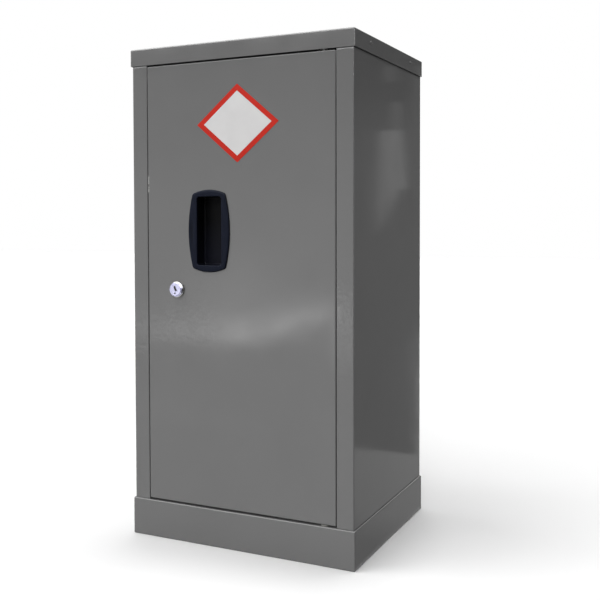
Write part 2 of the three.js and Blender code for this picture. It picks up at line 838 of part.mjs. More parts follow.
const door = movingGroup(cabinet, new THREE.Vector3(pivotX, pivotY, 0));
const lock = movingGroup(door, new THREE.Vector3(lockX, bodyFront, lockZ));

addPart(cabinet, 'plinth', plinth(), greyPaint);
addPart(cabinet, 'left_side_panel', leftSidePanel(), greyPaint);
addPart(cabinet, 'right_side_panel', rightSidePanel(), greyPaint);
addPart(cabinet, 'back_panel', backPanel(), greyPaint);
addPart(cabinet, 'header_rail', headerRail(), greyPaint);
addPart(cabinet, 'ceiling_panel', ceilingPanel(), greyPaint);
addPart(cabinet, 'sump_tray', sumpTray(), greyPaint);
addPart(cabinet, 'top_cap', topCap(), greyPaint);
for (const [sideName, side] of [['left', -1], ['right', 1]]) {
  addPart(cabinet, `cap_rivet_${sideName}_front`, capRivet(side, -rivetFromMiddle), greyPaint);
  addPart(cabinet, `cap_rivet_${sideName}_rear`, capRivet(side, rivetFromMiddle), greyPaint);
}
addPart(cabinet, 'upper_door_buffer', doorBuffer(doorTop - bufferFromEnd), rubber);
addPart(cabinet, 'lower_door_buffer', doorBuffer(doorBottom + bufferFromEnd), rubber);
addPart(cabinet, 'upper_hinge_bush', upperHingeBush(), nylon);
addPart(cabinet, 'lower_hinge_bush', lowerHingeBush(), nylon);

addPart(door, 'door_skin', doorSkin(), greyPaint);
addPart(door, 'door_stiffener', doorStiffener(), greyPaint);
addPart(door, 'upper_hinge_bracket', hingeBracket(doorTop - bracketDrop, 1), greyPaint);
addPart(door, 'lower_hinge_bracket', hingeBracket(doorBottom + bracketDrop, -1), greyPaint);
addPart(door, 'upper_hinge_pin', upperHingePin(), zincSteel);
addPart(door, 'lower_hinge_pin', lowerHingePin(), zincSteel);
addPart(door, 'handle_pull', handlePull(), blackPlastic);
addPart(door, 'handle_retainer', handleRetainer(), zincSteel);
bossPlaces().forEach((x, i) => {
  addPart(door, `handle_screw_${i + 1}`, handleScrew(x), zincSteel);
});
addPart(door, 'label_border', labelBorderSheet(), redVinyl);
addPart(door, 'label_field', labelFieldSheet(), paleVinyl);
addPart(door, 'lock_barrel', lockBarrel(), chrome);
addPart(door, 'lock_nut', lockNut(), zincSteel);

addPart(lock, 'lock_plug', lockPlug(), chrome);
addPart(lock, 'lock_cam', lockCam(), zincSteel);
addPart(lock, 'cam_nut', camNut(), zincSteel);

for (const [sideName, side] of [['left', -1], ['right', 1]]) {
  for (const [placeName, y] of uprightPlaces) {
    const place = `${sideName}_${placeName}`;
    addPart(cabinet, `shelf_upright_${place}`, shelfUpright(side, y), greyPaint);
    addPart(cabinet, `lower_shelf_clip_${place}`, shelfClip(side, y, lowerShelfAboveSump), zincSteel);
    addPart(cabinet, `upper_shelf_clip_${place}`, shelfClip(side, y, upperShelfAboveSump), zincSteel);
  }
}
addPart(cabinet, 'lower_shelf', shelf(lowerShelfAboveSump), greyPaint);
addPart(cabinet, 'upper_shelf', shelf(upperShelfAboveSump), greyPaint);

export default cabinet;
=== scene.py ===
import json
import math

import bmesh
import bpy
from mathutils import Matrix, Vector


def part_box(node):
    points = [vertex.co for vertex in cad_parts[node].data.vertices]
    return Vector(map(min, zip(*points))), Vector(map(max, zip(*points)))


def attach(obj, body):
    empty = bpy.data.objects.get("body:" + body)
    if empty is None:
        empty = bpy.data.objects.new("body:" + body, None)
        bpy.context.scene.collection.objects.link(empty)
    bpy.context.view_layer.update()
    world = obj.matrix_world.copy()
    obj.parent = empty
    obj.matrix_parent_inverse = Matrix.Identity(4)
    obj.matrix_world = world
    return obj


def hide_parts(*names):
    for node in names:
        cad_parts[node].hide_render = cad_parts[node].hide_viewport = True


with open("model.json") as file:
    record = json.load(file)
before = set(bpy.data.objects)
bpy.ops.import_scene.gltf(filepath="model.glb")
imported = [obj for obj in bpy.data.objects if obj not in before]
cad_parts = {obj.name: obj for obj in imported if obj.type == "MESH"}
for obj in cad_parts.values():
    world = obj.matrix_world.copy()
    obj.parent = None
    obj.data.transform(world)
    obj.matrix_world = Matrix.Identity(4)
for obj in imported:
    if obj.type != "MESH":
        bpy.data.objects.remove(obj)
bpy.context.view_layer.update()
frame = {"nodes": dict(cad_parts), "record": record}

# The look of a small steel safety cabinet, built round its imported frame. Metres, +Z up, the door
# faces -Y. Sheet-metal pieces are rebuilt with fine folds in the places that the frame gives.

# Sheet metal, as in the construction
SHEET = 0.0012
FOLD_RADIUS = 0.0022
SEAT_GAP = 0.0002
RUN_GAP = 0.0003
OVERRUN = 0.005
FOLD_STEPS = 6
CUT_EDGE = 0.0002
CUT_EDGE_STEPS = 2
SHARP_ANGLE = math.radians(60)
SMOOTH_ANGLE = math.radians(32)
TOLERANCE = 1e-5

# Spacing of the mesh over flat sheets
DOOR_CELL = 0.012
PANEL_CELL = 0.02
PLAIN_CELL = 0.06

# Folds and flanges. The left (-1) and right (1) jamb stand JAMB_CLOSER nearer the door than in the
# construction, and the cap's skirt comes CAP_DROP lower.
STOP_LEG_WIDTH = 0.019
REAR_FLANGE_WIDTH = 0.020
PLINTH_SIDE_FLANGE = 0.020
PLINTH_FOOT_FLANGE = 0.015
DOOR_LIP = 0.014
JAMB_CLOSER = {-1: 0.0012, 1: 0.001}
JAMB_FOLD_RADIUS = 0.0014
CAP_DROP = 0.001
CAP_FOLD_RADIUS = 0.0027
BUFFER_THICKNESS = 0.0035

# Hinges
PIN_RADIUS = 0.003
BUSH_WALL = 0.0013

# Rivets in the cap
RIVETS = [(side, place) for side in ("left", "right") for place in ("front", "rear")]
RIVET_RADIUS = 0.002
RIVET_HEAD_RADIUS = 0.0034
RIVET_TAIL = 0.004
RIVET_TAIL_RADIUS = 0.0028
RIVET_DOME_STEPS = 8

# Flush pull
HANDLE_SIDE_BOW = 0.0087
HANDLE_END_BOW = 0.007
HANDLE_CORNER = 0.0035
HANDLE_TRIM = 0.0024
HANDLE_CORNER_STEPS = 6
HANDLE_SIDE_STEPS = 24
HANDLE_SMOOTH_ANGLE = math.radians(50)
POCKET_WIDTH = 0.0492
POCKET_HEIGHT = 0.1225
POCKET_DEPTH = 0.024
POCKET_WALL = 0.0014
POCKET_CORNER = 0.005
POCKET_EDGE = 0.001
POCKET_WALL_STEPS = 7
POCKET_FILLET = 0.003
POCKET_FILLET_STEPS = 5
BOSS_RADIUS = 0.004
BOSS_BORE = 0.0019
BOSS_LENGTH = 0.0026
BOSS_REACH = 0.0345
GROOVE_HALF_LENGTH = 0.034
GROOVE_DEPTH = 0.38
GROOVE_FROM = 0.06
GROOVE_TO = 0.72

# The pull's rim from its outline to the pocket: share of the way and share of the height
RIM = ((0.0, 0.26), (0.012, 0.42), (0.035, 0.58), (0.08, 0.74), (0.15, 0.86), (0.20, 0.91),
       (0.26, 0.94), (0.33, 0.97), (0.40, 0.99), (0.47, 1.0), (0.55, 1.0), (0.63, 1.0),
       (0.70, 1.0), (0.77, 1.0), (0.84, 0.99), (0.92, 0.96), (0.965, 0.88), (0.99, 0.76))

# Cam lock
COLLAR_THICKNESS = 0.0034
COLLAR_EDGE = 0.0004
COLLAR_EDGE_STEPS = 5
BEZEL_RADIUS = 0.0129
BEZEL_FOOT = 0.0005
BEZEL_CHAMFER = 0.0007
BORE_CHAMFER = 0.0002
BARREL_RADIUS = 0.0095
PLUG_RADIUS = 0.006
PLUG_HEAD_THICKNESS = 0.0032
PLUG_EDGE = 0.0005
PLUG_EDGE_STEPS = 4
PLUG_FACE_RING = 0.55
KEYWAY_WIDTH = 0.0042
KEYWAY_HEIGHT = 0.0096
KEYWAY_DEPTH = 0.017
KEYWAY_RISE = 0.0016
KEYWAY_TILT = math.radians(24)
# Depth of a dark leaf in the keyway, which is painted shade
KEYWAY_SHADE_DEPTH = 0.0008
MARK_RADIUS = 0.0016
MARK_DEPTH = 0.0006
MARK_ASIDE = 0.0006
MARK_DROP = 0.0068
MARK_SIDES = 24
CAM_THICKNESS = 0.002
CAM_SQUARE = 0.007
STUD_RADIUS = 0.0025
STUD_LENGTH = 0.006
STUD_CHAMFER = 0.0004
LATHE_SIDES = 72
ROD_SIDES = 48
SMALL_LATHE_SIDES = 32

# Label
LABEL_BORDER = 0.009
LABEL_CORNER = 0.0012
LABEL_CORNER_STEPS = 4

# The slight unevenness of the door and the sides
DOOR_DISH = 0.00035
DOOR_TWIST = 0.00018
PANEL_BUCKLE = 0.00035

# Paint: a fine peel all over and a coarse one on the stiles' fronts, each by the scale, depth and
# strength of its bumps, and how much of the coarse one there is on the sides and round the lock
PAINT_ROUGHNESS = (0.09, 0.14)
FINE_PEEL = (300, 0.000012, 0.5)
COARSE_PEEL = (120, 0.0004, 0.6)
PEEL_FADE = 0.002
SIDE_PEEL = 0.2
LOCK_PEEL = 0.7

# The coarse peel round the lock and a pale streak on the door's left edge: from, to and how softly
# they end. The peel starts at the door's edge, and the streak's span along Y counts from the door's
# face.
LOCK_PEEL_X = (-0.06, 0.04)
LOCK_PEEL_Z = (0.39, 0.51, 0.05)
PALE_STREAK_X = (-0.1856, -0.1828, 0.0001)
PALE_STREAK_Y = (-0.001, 0.001, 0.0005)
PALE_STREAK_Z = (0.639, 0.666, 0.003)
PALE_STREAK_SCALE = 420
PALE_STREAK_SPAN = (0.42, 0.5)

# The pull's painted shade: where its rim darkens towards the door, at its foot and in the finger
# groove, and where the pocket's painted shade begins, from the door's face back. The pocket has
# painted light at its foot, and that fades out between two heights.
RIM_PAINTED_SHADE_DEPTHS = (-0.0031, -0.0018)
RIM_PAINTED_SHADE = 0.65
POCKET_PAINTED_SHADE_DEPTH = 0.004
POCKET_PAINTED_LIGHT_ABOVE_FOOT = 0.03
POCKET_PAINTED_LIGHT_ABOVE_MIDDLE = 0.02

# Places along Y between which the lock's housing turns duller
COLLAR_SHADE = (-0.1885, -0.1879)

# Plain finishes: dark and light colour, roughness, scale and depth of the grain, specular level
PLAIN_FINISHES = {
    "bush_nylon": ((128, 127, 122), (142, 141, 136), 0.5, 150, 0.00002, 0.5),
    "buffer_rubber": ((22, 22, 22), (32, 32, 31), 0.8, 180, 0.00004, 0.5),
    "red_vinyl": ((188, 30, 12), (196, 34, 16), 0.4, 40, 0.00001, 0.1),
    "pale_vinyl": ((212, 211, 211), (217, 216, 216), 0.4, 30, 0.00001, 0.1),
}

# Places from the frame
cap_low, cap_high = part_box("top_cap")
plinth_low, plinth_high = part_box("plinth")
right_low, right_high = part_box("right_side_panel")
back_low, back_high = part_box("back_panel")
sump_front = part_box("sump_tray")[0].y
door_low, door_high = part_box("door_skin")
pull_low, pull_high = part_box("handle_pull")
border_low, border_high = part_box("label_border")
barrel_low, barrel_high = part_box("lock_barrel")
plug_low, plug_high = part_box("lock_plug")
pin_low, pin_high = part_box("upper_hinge_pin")

body_front = right_low.y
pull_middle = (pull_low + pull_high) / 2
label_middle = (border_low + border_high) / 2
lock_middle = (barrel_low + barrel_high) / 2
pivot = (pin_low + pin_high) / 2


# Mesh making
def link_object(name, bm):
    """The mesh of a bmesh as a new object at the origin."""
    mesh = bpy.data.meshes.new(name)
    bm.to_mesh(mesh)
    bm.free()
    obj = bpy.data.objects.new(name, mesh)
    bpy.context.scene.collection.objects.link(obj)
    return obj


def make_object(name, bm):
    """The same, with its faces turned outwards."""
    bmesh.ops.recalc_face_normals(bm, faces=bm.faces)
    return link_object(name, bm)


def apply_modifiers(obj):
    """Makes the object's modifiers part of its mesh."""
    graph = bpy.context.evaluated_depsgraph_get()
    mesh = bpy.data.meshes.new_from_object(obj.evaluated_get(graph))
    obj.modifiers.clear()
    old = obj.data
    name = old.name
    obj.data = mesh
    bpy.data.meshes.remove(old)
    mesh.name = name
    return obj


def smooth(obj, angle=SMOOTH_ANGLE):
    """Rounded stretches shade smoothly and flat faces stay flat."""
    obj.data.shade_smooth()
    obj.data.set_sharp_from_angle(angle=angle)
    normals = obj.modifiers.new("normals", "WEIGHTED_NORMAL")
    normals.keep_sharp = True
    return obj


def cut_away(obj, cutter):
    """Takes a closed cutter out of an object and deletes the cutter."""
    boolean = obj.modifiers.new("cut", "BOOLEAN")
    boolean.operation = "DIFFERENCE"
    boolean.solver = "EXACT"
    boolean.object = cutter
    apply_modifiers(obj)
    mesh = cutter.data
    bpy.data.objects.remove(cutter)
    bpy.data.meshes.remove(mesh)


def quarter_turn(steps):
    """Angles from 0 to a right angle."""
    return [math.pi / 2 * i / steps for i in range(steps + 1)]


def curve(start, pull, end, t):
    """A point of the curve from start to end that is drawn towards pull."""
    return start * (1 - t) ** 2 + pull * 2 * t * (1 - t) + end * t ** 2


def spot(axis, along, across, up):
    """A place given along an axis and then in the two axes that follow it."""
    place = [0, 0, 0]
    place[axis], place[(axis + 1) % 3], place[(axis + 2) % 3] = along, across, up
    return place


def grid_lines(low, high, step, extra=()):
    """Places from low to high that are about a step apart, with the extra places among them."""
    stops = sorted({low, high, *extra})
    lines = []
    for start, end in zip(stops, stops[1:]):
        count = max(1, round((end - start) / step))
        lines += [start + (end - start) * i / count for i in range(count)]
    return lines + [stops[-1]]


def folded_box(name, low, high, wanted, step, extra=((), (), ()), radius=FOLD_RADIUS):
    """A box of folded sheet. wanted(axis, side, middle) says which cells of its faces are there,
    extra gives places on each axis where the sheet ends, and each fold is rounded."""
    lines = [grid_lines(low[a], high[a], step, extra[a]) for a in range(3)]
    bm = bmesh.new()
    corners = {}

    def corner(index):
        if index not in corners:
            corners[index] = bm.verts.new([lines[a][i] for a, i in enumerate(index)])
        return corners[index]

    def middle_of(places, i):
        return (places[i] + places[i + 1]) / 2

    for axis in range(3):
        across, up = lines[(axis + 1) % 3], lines[(axis + 2) % 3]
        for side in (0, 1):
            fixed = side * (len(lines[axis]) - 1)
            for i in range(len(across) - 1):
                for j in range(len(up) - 1):
                    middle = spot(axis, lines[axis][fixed], middle_of(across, i), middle_of(up, j))
                    if not wanted(axis, side, middle):
                        continue
                    ring = [corner(tuple(spot(axis, fixed, p, q)))
                            for p, q in ((i, j), (i + 1, j), (i + 1, j + 1), (i, j + 1))]
                    bm.faces.new(ring if side else ring[::-1])
    if radius:
        bm.normal_update()
        folds = [e for e in bm.edges
                 if len(e.link_faces) == 2 and e.calc_face_angle() > SHARP_ANGLE]
        bmesh.ops.bevel(bm, geom=folds, offset=radius, offset_type="OFFSET",
                        segments=FOLD_STEPS, profile=0.5, affect="EDGES", clamp_overlap=False)
    obj = link_object(name, bm)
    shell = obj.modifiers.new("sheet", "SOLIDIFY")
    shell.thickness = SHEET
    shell.offset = -1
    shell.use_even_offset = True
    return apply_modifiers(obj)


def soften_edges(obj):
    """Takes the sharpness off the sheet's cut edges."""
    bevel = obj.modifiers.new("edges", "BEVEL")
    bevel.width = CUT_EDGE
    bevel.segments = CUT_EDGE_STEPS
    bevel.limit_method = "ANGLE"
    bevel.angle_limit = SHARP_ANGLE
    return apply_modifiers(obj)


def folded_outline(path, radii):
    """The closed outline of a folded sheet along a path, the sheet on the path's left, with the
    outer radius of the fold at each of the path's points."""
    corners = [Vector(p) for p in path]
    normals = []
    for start, end in zip(corners, corners[1:]):
        along = (end - start).normalized()
        normals.append(Vector((-along.y, along.x)))

    def side_at(offset):
        points = [corners[0] + normals[0] * offset]
        for i in range(1, len(corners) - 1):
            before, after = normals[i - 1], normals[i]
            turn = math.copysign(1, before.x * after.y - before.y * after.x)
            path_radius = radii[i] if turn > 0 else radii[i] - SHEET
            middle = (before + after).normalized()
            centre = corners[i] + middle * turn * path_radius / middle.dot(before)
            for angle in quarter_turn(FOLD_STEPS):
                spoke = before * math.cos(angle) + after * math.sin(angle)
                points.append(centre + spoke * (offset - turn * path_radius))
        points.append(corners[-1] + normals[-1] * offset)
        return points

    return side_at(0) + side_at(SHEET)[::-1]


def split_long_edges(outline, step):
    """The same closed outline with its long stretches divided."""
    points = []
    for start, end in zip(outline, outline[1:] + outline[:1]):
        count = max(1, round((end - start).length / step))
        points += [start + (end - start) * i / count for i in range(count)]
    return points


def skinned(name, rings):
    """A closed piece through rings of as many points each, with the first and last filled."""
    bm = bmesh.new()
    skins = [[bm.verts.new(point) for point in ring] for ring in rings]
    for lower, upper in zip(skins, skins[1:]):
        for i in range(len(lower)):
            j = (i + 1) % len(lower)
            bm.faces.new((lower[i], lower[j], upper[j], upper[i]))
    bm.faces.new(skins[0][::-1])
    bm.faces.new(skins[-1])
    return make_object(name, bm)


def prism(name, outline, axis, places):
    """A closed outline, in the two axes that follow the given one, carried through places."""
    return skinned(name, [[spot(axis, place, *point) for point in outline] for place in places])


def turned(name, profile, centre, axis, sides=LATHE_SIDES, closed=False):
    """A turned piece: profile lists (radius, place along the axis). A closed profile is a ring."""
    bm = bmesh.new()
    across, up = centre[(axis + 1) % 3], centre[(axis + 2) % 3]
    rings = []
    for radius, along in profile:
        ring = []
        for i in range(sides if radius > 0 else 1):
            angle = 2 * math.pi * i / sides
            place = spot(axis, along, across + radius * math.cos(angle), up + radius * math.sin(angle))
            ring.append(bm.verts.new(place))
        rings.append(ring)
    if closed:
        rings.append(rings[0])
    for lower, upper in zip(rings, rings[1:]):
        for i in range(sides):
            j = (i + 1) % sides
            corners = [lower[i % len(lower)], lower[j % len(lower)],
                       upper[j % len(upper)], upper[i % len(upper)]]
            distinct = list(dict.fromkeys(corners))
            if len(distinct) > 2:
                bm.faces.new(distinct)
    return make_object(name, bm)


def rod(name, radius, centre, axis, span, sides=ROD_SIDES):
    """A plain rod, for cutting holes and for the mark on the lock."""
    profile = [(0, span[0]), (radius, span[0]), (radius, span[1]), (0, span[1])]
    return turned(name, profile, centre, axis, sides)


def drill(obj, radius, centre, axis, place):
    """A round hole along an axis, through a sheet that lies at a place on it."""
    cut_away(obj, rod("hole", radius, centre, axis, (place - OVERRUN, place + OVERRUN)))


def rounded_rectangle(centre, width, height, corner, steps=8, side_steps=1):
    """A closed outline that starts at the right end of its lower side and runs round."""
    x, y = width / 2 - corner, height / 2 - corner
    arcs = []
    for i, (sx, sy) in enumerate(((1, -1), (1, 1), (-1, 1), (-1, -1))):
        middle = Vector((centre[0] + sx * x, centre[1] + sy * y))
        angles = [math.pi / 2 * (i - 1) + angle for angle in quarter_turn(steps)]
        arcs.append([middle + corner * Vector((math.cos(a), math.sin(a))) for a in angles])
    points = []
    for arc, following in zip(arcs, arcs[1:] + arcs[:1]):
        points += arc
        points += [arc[-1].lerp(following[0], k / side_steps) for k in range(1, side_steps)]
    return points


def bump(value, low, high):
    """0 at both ends of a span, 1 in its middle, with level ends."""
    share = min(1, max(0, (value - low) / (high - low)))
    return math.sin(math.pi * share) ** 2


def door_wave(x, z):
    """How far the door's face lies behind its flat plane, in slow waves that lie anywhere."""
    across = (x - door_low.x) / (door_high.x - door_low.x)
    up = (z - door_low.z) / (door_high.z - door_low.z)
    edge = bump(x, door_low.x, door_high.x) ** 0.5 * bump(z, door_low.z, door_high.z) ** 0.5
    dish = DOOR_DISH * (0.6 + 0.4 * math.sin(math.pi * 2.4 * up + 0.6))
    twist = DOOR_TWIST * (1 + math.sin(math.pi * (1.6 * up - 1.1 * across)))
    return edge * (dish + twist)


def panel_wave(y, z, side):
    """How far a side panel's sheet lies inside its flat plane, in waves of the same kind."""
    edge = bump(y, right_low.y, right_high.y) ** 0.5 * bump(z, right_low.z, right_high.z) ** 0.5
    along = (y - right_low.y) / (right_high.y - right_low.y)
    up = (z - right_low.z) / (right_high.z - right_low.z)
    buckle = 1 + math.sin(math.pi * (2.7 * up + 0.9 * along * side + 0.3))
    return PANEL_BUCKLE * edge * buckle


# Materials
def srgb(red, green, blue):
    """A linear colour from one given in 0 to 255."""
    def linear(value):
        value /= 255
        return value / 12.92 if value <= 0.04045 else ((value + 0.055) / 1.055) ** 2.4
    return (linear(red), linear(green), linear(blue), 1)


def ranged(tree, factor, low, high, start=0, end=1):
    """A number from low to high as a factor goes from start to end."""
    node = tree.nodes.new("ShaderNodeMapRange")
    tree.links.new(factor, node.inputs["Value"])
    for name, value in (("From Min", start), ("From Max", end), ("To Min", low), ("To Max", high)):
        node.inputs[name].default_value = value
    return node.outputs["Result"]


def maths(tree, operation, first, second=0):
    """A Math node for an output and another output or a plain number."""
    node = tree.nodes.new("ShaderNodeMath")
    node.operation = operation
    tree.links.new(first, node.inputs[0])
    if isinstance(second, (int, float)):
        node.inputs[1].default_value = second
    else:
        tree.links.new(second, node.inputs[1])
    return node.outputs[0]


class Nodes:
    """A new material's node tree, with its shader."""

    def __init__(self, name, roughness, metallic=0.0, specular=0.5):
        self.material = bpy.data.materials.new(name)
        self.material.use_nodes = True
        self.tree = self.material.node_tree
        self.shader = self.tree.nodes["Principled BSDF"]
        self.shader.inputs["Roughness"].default_value = roughness
        self.shader.inputs["Metallic"].default_value = metallic
        self.shader.inputs["Specular IOR Level"].default_value = specular
        self.place = self.add("ShaderNodeTexCoord").outputs["Object"]

    def add(self, kind, **settings):
        node = self.tree.nodes.new(kind)
        for key, value in settings.items():
            setattr(node, key, value)
        return node

    def link(self, output, socket):
        self.tree.links.new(output, socket)

    def axes(self):
        """The place's X, Y and Z."""
        split = self.add("ShaderNodeSeparateXYZ")
        self.link(self.place, split.inputs[0])
        return split.outputs

    def noise(self, scale, detail=2.0, stretch=(1, 1, 1)):
        spread = self.add("ShaderNodeMapping")
        spread.inputs["Scale"].default_value = stretch
        self.link(self.place, spread.inputs["Vector"])
        noise = self.add("ShaderNodeTexNoise")
        noise.inputs["Scale"].default_value = scale
        noise.inputs["Detail"].default_value = detail
        self.link(spread.outputs["Vector"], noise.inputs["Vector"])
        return noise.outputs["Fac"]

    def between(self, factor, low, high, start=0.3, end=0.7):
        """The same as ranged, with a start and end that suit a noise."""
        return ranged(self.tree, factor, low, high, start, end)

    def blend_colours(self, factor, first, second):
        """A colour between two, each given as numbers or as another node's output."""
        node = self.add("ShaderNodeMix", data_type="RGBA")
        self.link(factor, node.inputs["Factor"])
        colours = [socket for socket in node.inputs if socket.type == "RGBA"]
        for socket, colour in zip(colours, (first, second)):
            if isinstance(colour, tuple):
                socket.default_value = colour
            else:
                self.link(colour, socket)
        return next(o for o in node.outputs if o.type == "RGBA")

    def mottled(self, scale, dark, light):
        """A colour that wanders between two."""
        return self.blend_colours(self.between(self.noise(scale, detail=3), 0, 1), dark, light)

    def product(self, first, *others):
        for other in others:
            first = maths(self.tree, "MULTIPLY", first, other)
        return first

    def finish(self, colour, roughness, *layers):
        """Links the colour, the roughness and the bumps, one on another, and gives the material.
        Each layer of bumps is a height, its depth and its strength."""
        self.link(colour, self.shader.inputs["Base Color"])
        self.link(roughness, self.shader.inputs["Roughness"])
        normal = None
        for height, depth, strength in layers:
            node = self.add("ShaderNodeBump")
            node.inputs["Distance"].default_value = depth
            node.inputs["Strength"].default_value = strength
            self.link(height, node.inputs["Height"])
            if normal:
                self.link(normal, node.inputs["Normal"])
            normal = node.outputs["Normal"]
        self.link(normal, self.shader.inputs["Normal"])
        return self.material


def paint_material():
    """Semi-gloss grey powder coat: fine orange peel, coarser on the stiles and round the lock."""
    paint = Nodes("cabinet_paint", roughness=0.2)
    axes = paint.axes()

    def within(axis, low, high, fade):
        """1 between two places along an axis, fading to 0 outside them."""
        return paint.product(paint.between(axes[axis], 0, 1, low - fade, low),
                             paint.between(axes[axis], 1, 0, high, high + fade))

    # A pale streak on the door's left edge, broken up by noise
    front, back, fade = PALE_STREAK_Y
    pale_streak = paint.product(
        within("X", *PALE_STREAK_X), within("Z", *PALE_STREAK_Z),
        within("Y", door_low.y + front, door_low.y + back, fade),
        paint.between(paint.noise(PALE_STREAK_SCALE, detail=3), 0, 1, *PALE_STREAK_SPAN))
    grey = paint.mottled(9, srgb(107, 107, 107), srgb(109, 109, 109))
    colour = paint.blend_colours(pale_streak, grey, srgb(205, 205, 202))

    aside = maths(paint.tree, "ABSOLUTE", axes["X"])
    face = within("Y", body_front - PEEL_FADE / 2, body_front + PEEL_FADE / 2, PEEL_FADE)
    stiles = paint.product(
        paint.between(aside, 0, 1, door_high.x, door_high.x + PEEL_FADE),
        within("Z", plinth_high.z + PEEL_FADE, cap_low.z - 2 * PEEL_FADE, PEEL_FADE),
        paint.between(face, SIDE_PEEL, 1, 0, 1))
    lock_area = paint.product(
        within("X", door_low.x, *LOCK_PEEL_X), within("Z", *LOCK_PEEL_Z), LOCK_PEEL)
    peel = maths(paint.tree, "MAXIMUM", stiles, lock_area)
    coarse = paint.product(paint.noise(COARSE_PEEL[0], detail=1), peel)
    fine = paint.noise(FINE_PEEL[0], detail=1)
    rough = paint.between(paint.noise(30, detail=4), *PAINT_ROUGHNESS)
    return paint.finish(colour, rough, (coarse, *COARSE_PEEL[1:]), (fine, *FINE_PEEL[1:]))


def plastic_material():
    """Satin black moulding with a cool cast and a fine grain, with painted shade at the rim's foot, in
    its finger groove and inside the pocket, and painted light low in the pocket.
    """
    plastic = Nodes("pull_plastic", roughness=0.4, specular=0.06)
    axes = plastic.axes()
    face = plastic.mottled(60, srgb(15, 19, 31), srgb(17, 21, 34))
    # Painted shade on the rim's foot and in the finger groove
    front, back = (door_low.y + depth for depth in RIM_PAINTED_SHADE_DEPTHS)
    painted_rim_shade = plastic.between(axes["Y"], 0, RIM_PAINTED_SHADE, front, back)
    rim = plastic.blend_colours(painted_rim_shade, face, srgb(4, 5, 8))
    # Painted light low in the pocket, with painted shade, near black, above it
    low = plastic.between(axes["Z"], 1, 0, pull_low.z + POCKET_PAINTED_LIGHT_ABOVE_FOOT,
                          pull_middle.z + POCKET_PAINTED_LIGHT_ABOVE_MIDDLE)
    pocket = plastic.blend_colours(low, srgb(3, 3, 4), srgb(12, 13, 21))
    # Painted shade inside the pocket, from the door's face back
    inside = plastic.between(axes["Y"], 0, 1, door_low.y, door_low.y + POCKET_PAINTED_SHADE_DEPTH)
    colour = plastic.blend_colours(inside, rim, pocket)
    rough = plastic.between(plastic.noise(200, detail=3), 0.36, 0.46)
    return plastic.finish(colour, rough, (plastic.noise(1500), 0.00003, 0.5))


def chrome_material():
    """Bright plating, a little clouded and duller on the collar, with fine scratches, and a violet
    tint that is a painted reflection of a bluish room.
    """
    chrome = Nodes("lock_chrome", roughness=0.12, metallic=1.0)
    # The plating's colour, with a violet tint that is a painted reflection
    plating_and_painted_tint = chrome.mottled(300, srgb(174, 174, 200), srgb(192, 192, 216))
    collar = chrome.between(chrome.axes()["Y"], 0, 1, *COLLAR_SHADE)
    colour = chrome.blend_colours(collar, plating_and_painted_tint, srgb(150, 150, 146))
    rough = chrome.between(chrome.noise(400, detail=4, stretch=(1, 1, 6)), 0.08, 0.2)
    return chrome.finish(colour, rough, (chrome.noise(900), 0.00001, 0.4))


def zinc_material():
    """Zinc plated steel, with drawn lines and a cloudy bloom."""
    zinc = Nodes("zinc_steel", roughness=0.38, metallic=1.0)
    cloud = zinc.between(zinc.noise(120, detail=4), 0, 1)
    colour = zinc.blend_colours(cloud, srgb(158, 160, 164), srgb(186, 187, 188))
    rough = zinc.between(zinc.noise(500, detail=3, stretch=(1, 1, 0.08)), 0.3, 0.48)
    return zinc.finish(colour, rough, (zinc.noise(700, stretch=(1, 1, 0.05)), 0.00002, 0.4))


def plain_material(name, dark, light, roughness, scale, depth, specular):
    """A plain material with a little mottling and a fine surface."""
    plain = Nodes(name, roughness=roughness, specular=specular)
    colour = plain.mottled(scale, srgb(*dark), srgb(*light))
    rough = plain.between(plain.noise(scale * 3, detail=3), roughness * 0.88, roughness * 1.12)
    return plain.finish(colour, rough, (plain.noise(scale * 12), depth, 0.4))


materials = {
    "cabinet_paint": paint_material(),
    "pull_plastic": plastic_material(),
    "lock_chrome": chrome_material(),
    "zinc_steel": zinc_material(),
}
for finish_name, finish in PLAIN_FINISHES.items():
    materials[finish_name] = plain_material(finish_name, *finish)


def dress(obj, body, slot, *nodes):
    """Gives a finished piece its material, its body and the nodes that it stands for."""
    obj.data.materials.clear()
    obj.data.materials.append(materials[slot])
    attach(obj, body)
    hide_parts(*nodes)


# Body
def make_cap():
    def wanted(axis, side, middle):
        return axis < 2 or side == 1

    edge = cap_low - Vector((0, 0, CAP_DROP))
    cap = folded_box("top_cap_sheet", edge, cap_high, wanted, PLAIN_CELL, radius=CAP_FOLD_RADIUS)
    for side, place in RIVETS:
        low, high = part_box(f"cap_rivet_{side}_{place}")
        middle = (low + high) / 2
        drill(cap, RIVET_RADIUS + RUN_GAP, middle, 0, middle.x)
    dress(smooth(soften_edges(cap)), "root", "cabinet_paint", "top_cap")


def make_plinth():
    foot = SHEET + PLINTH_FOOT_FLANGE
    inside = [(plinth_low[a] + foot, plinth_high[a] - foot) for a in range(2)]
    window = [
        (plinth_low.x + PLINTH_SIDE_FLANGE, plinth_high.x - PLINTH_SIDE_FLANGE),
        (sump_front + SHEET + FOLD_RADIUS, plinth_high.y - PLINTH_SIDE_FLANGE),
    ]

    def wanted(axis, side, middle):
        if axis < 2:
            return True
        hole = window if side else inside
        return not all(hole[a][0] < middle[a] < hole[a][1] for a in range(2))

    plinth = folded_box("plinth_sheet", plinth_low, plinth_high, wanted, PLAIN_CELL,
                        [inside[0] + window[0], inside[1] + window[1], ()])
    drill(plinth, PIN_RADIUS + BUSH_WALL + 2 * RUN_GAP, pivot, 2, plinth_high.z)
    dress(smooth(soften_edges(plinth)), "root", "cabinet_paint", "plinth")


